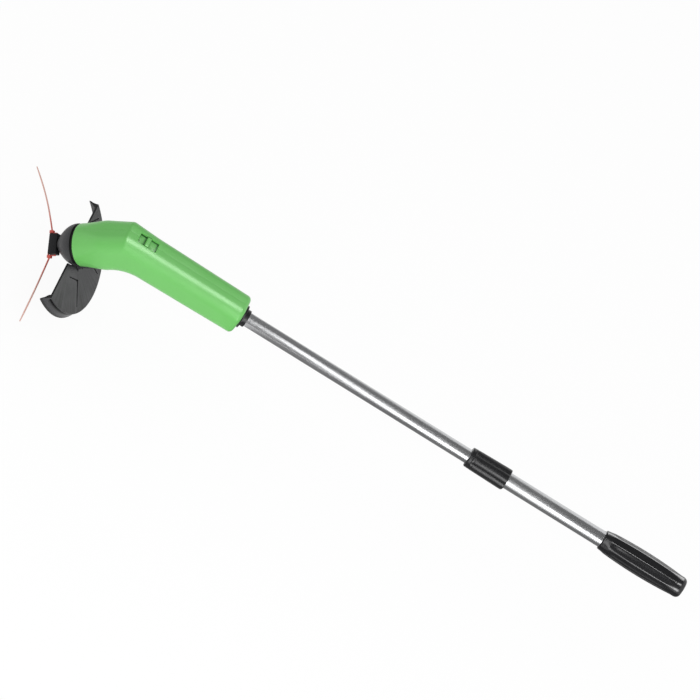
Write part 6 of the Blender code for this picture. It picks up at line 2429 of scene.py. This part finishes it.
@dataclass(frozen=True)
class Sheen(Lamp):
    """A lamp that only the gloss of some pieces shows, at a place along the pole and an angle round it."""

    x: float
    degrees: float
    serves: tuple[str, ...]
    ahead: float = 0.12
    away: float = 1.4

    def show(self) -> None:
        """Hangs the lamp for its pieces alone."""
        lamp = self.hang(ring_point(self.x + self.ahead, self.degrees, self.away), X_AXIS * self.x)
        lamp.visible_diffuse = False
        group = bpy.data.collections.new(self.name + "_serves")
        for served in self.serves:
            group.objects.link(bpy.data.objects[served])
        lamp.light_linking.receiver_collection = group


SHEENS = (
    Sheen("handle_sheen", (0.9, 0.9), 8.0, -0.62, 84.0,
          ("shell_left", "shell_right", "door_panel", "thumb_slide")),
    Sheen("rib_sheen", (0.6, 0.35), 16.0, 0.0, 106.0, ("hand_grip",)),
    Sheen("low_sheen", (0.6, 0.7), 9.0, 0.0, 174.0, ("hand_grip",)),
    Sheen("back_sheen", (0.6, 1.0), 6.0, 0.0, 27.0, ("hand_grip",)))


@dataclass
class Studio:
    """The camera, the floor, the lamps, the cards and the world."""

    aim: Vector = field(default_factory=lambda: Vector((-0.397, 0.0142, 0.0299)))
    frame_width: float = 0.7595
    lens: float = 1200.0
    sensor: float = 36.0
    right: Vector = field(default_factory=lambda: Vector((0.8448, 0.3346, 0.4175)))
    up: Vector = field(default_factory=lambda: Vector((-0.5238, 0.6762, 0.5177)))
    fill: float = 0.775
    key: Lamp = Lamp("key", (1.7, 1.7), 1.8)
    key_way: tuple[float, float, float] = (0.15, -0.87, 0.46)
    key_distance: float = 1.6
    floor_drop: float = 0.008
    floor_half: float = 6.0
    floor_shown: float = 0.92
    card_lift: float = 0.002
    card_outline: Line = ((-0.50, 0.12), (-0.50, -0.90), (-0.34, -0.90), (-0.20, -0.45),
                          (-0.12, -0.26), (0.20, -0.26), (0.20, 0.12))

    def place_camera(self) -> None:
        """Stands the camera where the photograph was taken from."""
        right = self.right.normalized()
        back = right.cross(self.up).normalized()
        data = bpy.data.cameras.new("camera")
        data.lens = self.lens
        data.sensor_width = self.sensor
        data.clip_end = 100.0
        camera = linked("camera", data)
        turn = Matrix((right, back.cross(right), back)).transposed().to_4x4()
        distance = self.frame_width * self.lens / self.sensor
        camera.matrix_world = Matrix.Translation(self.aim + back * distance) @ turn
        bpy.context.scene.camera = camera

    def lay_floor(self, low: float) -> None:
        """Lays the pale floor, with a dark card on it for reflections.

        Args:
            low: The trimmer's lowest level.
        """
        z = low - self.floor_drop
        far = self.floor_half
        floor = from_points("floor", [(-far, -far, z), (far, -far, z), (far, far, z), (-far, far, z)],
                            faces=[(0, 1, 2, 3)])
        material = bpy.data.materials.new("floor")
        sheet = NodeSheet.emptied(material)
        matt = sheet.add("ShaderNodeBsdfDiffuse", {"Color": (0.9, 0.9, 0.9, 1.0)})
        glow = sheet.add("ShaderNodeEmission", {"Color": WHITE, "Strength": 1.0})
        seen = sheet.times(self.plain_view(sheet), self.floor_shown)
        both = sheet.add("ShaderNodeMixShader", {0: seen, 1: matt.outputs[0], 2: glow.outputs[0]})
        sheet.add("ShaderNodeOutputMaterial", {"Surface": both.outputs[0]})
        floor.data.materials.append(material)
        floor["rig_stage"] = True
        points = [Vector((x, y, z + self.card_lift)) for x, y in self.card_outline]
        levels = [0.30 if x < -0.25 else 0.20 for x, _ in self.card_outline]
        show_card("low_card", points, [range(len(points))], levels)

    @staticmethod
    def plain_view(sheet: NodeSheet) -> Socket:
        """One for rays from the camera, off gloss and through glass, and zero for the rest."""
        rays = sheet.add("ShaderNodeLightPath").outputs
        shown = sheet.plus(rays["Is Camera Ray"], rays["Is Glossy Ray"])
        return sheet.math("ADD", shown, rays["Is Transmission Ray"], clamp=True)

    def light(self) -> None:
        """Hangs the key for matt surfaces, the lamps and cards that gloss shows, and sets the world."""
        towards = Vector(self.key_way).normalized()
        self.key.hang(self.aim + towards * self.key_distance, self.aim).visible_glossy = False
        for sheen in SHEENS:
            sheen.show()
        TUBE_WINDOW.hang()
        HIGH_CARD.hang()
        world = bpy.data.worlds.new("studio")
        bpy.context.scene.world = world
        sheet = NodeSheet.emptied(world)
        strength = sheet.plus(self.fill, sheet.times(self.plain_view(sheet), 1.0 - self.fill))
        background = sheet.add("ShaderNodeBackground", {"Color": WHITE, "Strength": strength})
        sheet.add("ShaderNodeOutputWorld", {"Surface": background.outputs[0]})
        bpy.context.scene.view_settings.view_transform = "Standard"


def main() -> None:
    """Builds every piece in order and sets up the studio."""
    logging.basicConfig(level=logging.INFO, format="%(message)s")
    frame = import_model()
    cad_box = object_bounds()
    studio = Studio()
    studio.place_camera()
    outside = (Housing(), Nose(), Guard(), Cutter(), Switch(), Pole())
    for assembly in (*outside, Cells(), Leads(), Insides(frame)):
        assembly.build()
    studio.lay_floor(cad_box[0].z)
    studio.light()
    LOG.info("size sheet written")


if __name__ == "__main__":
    main()
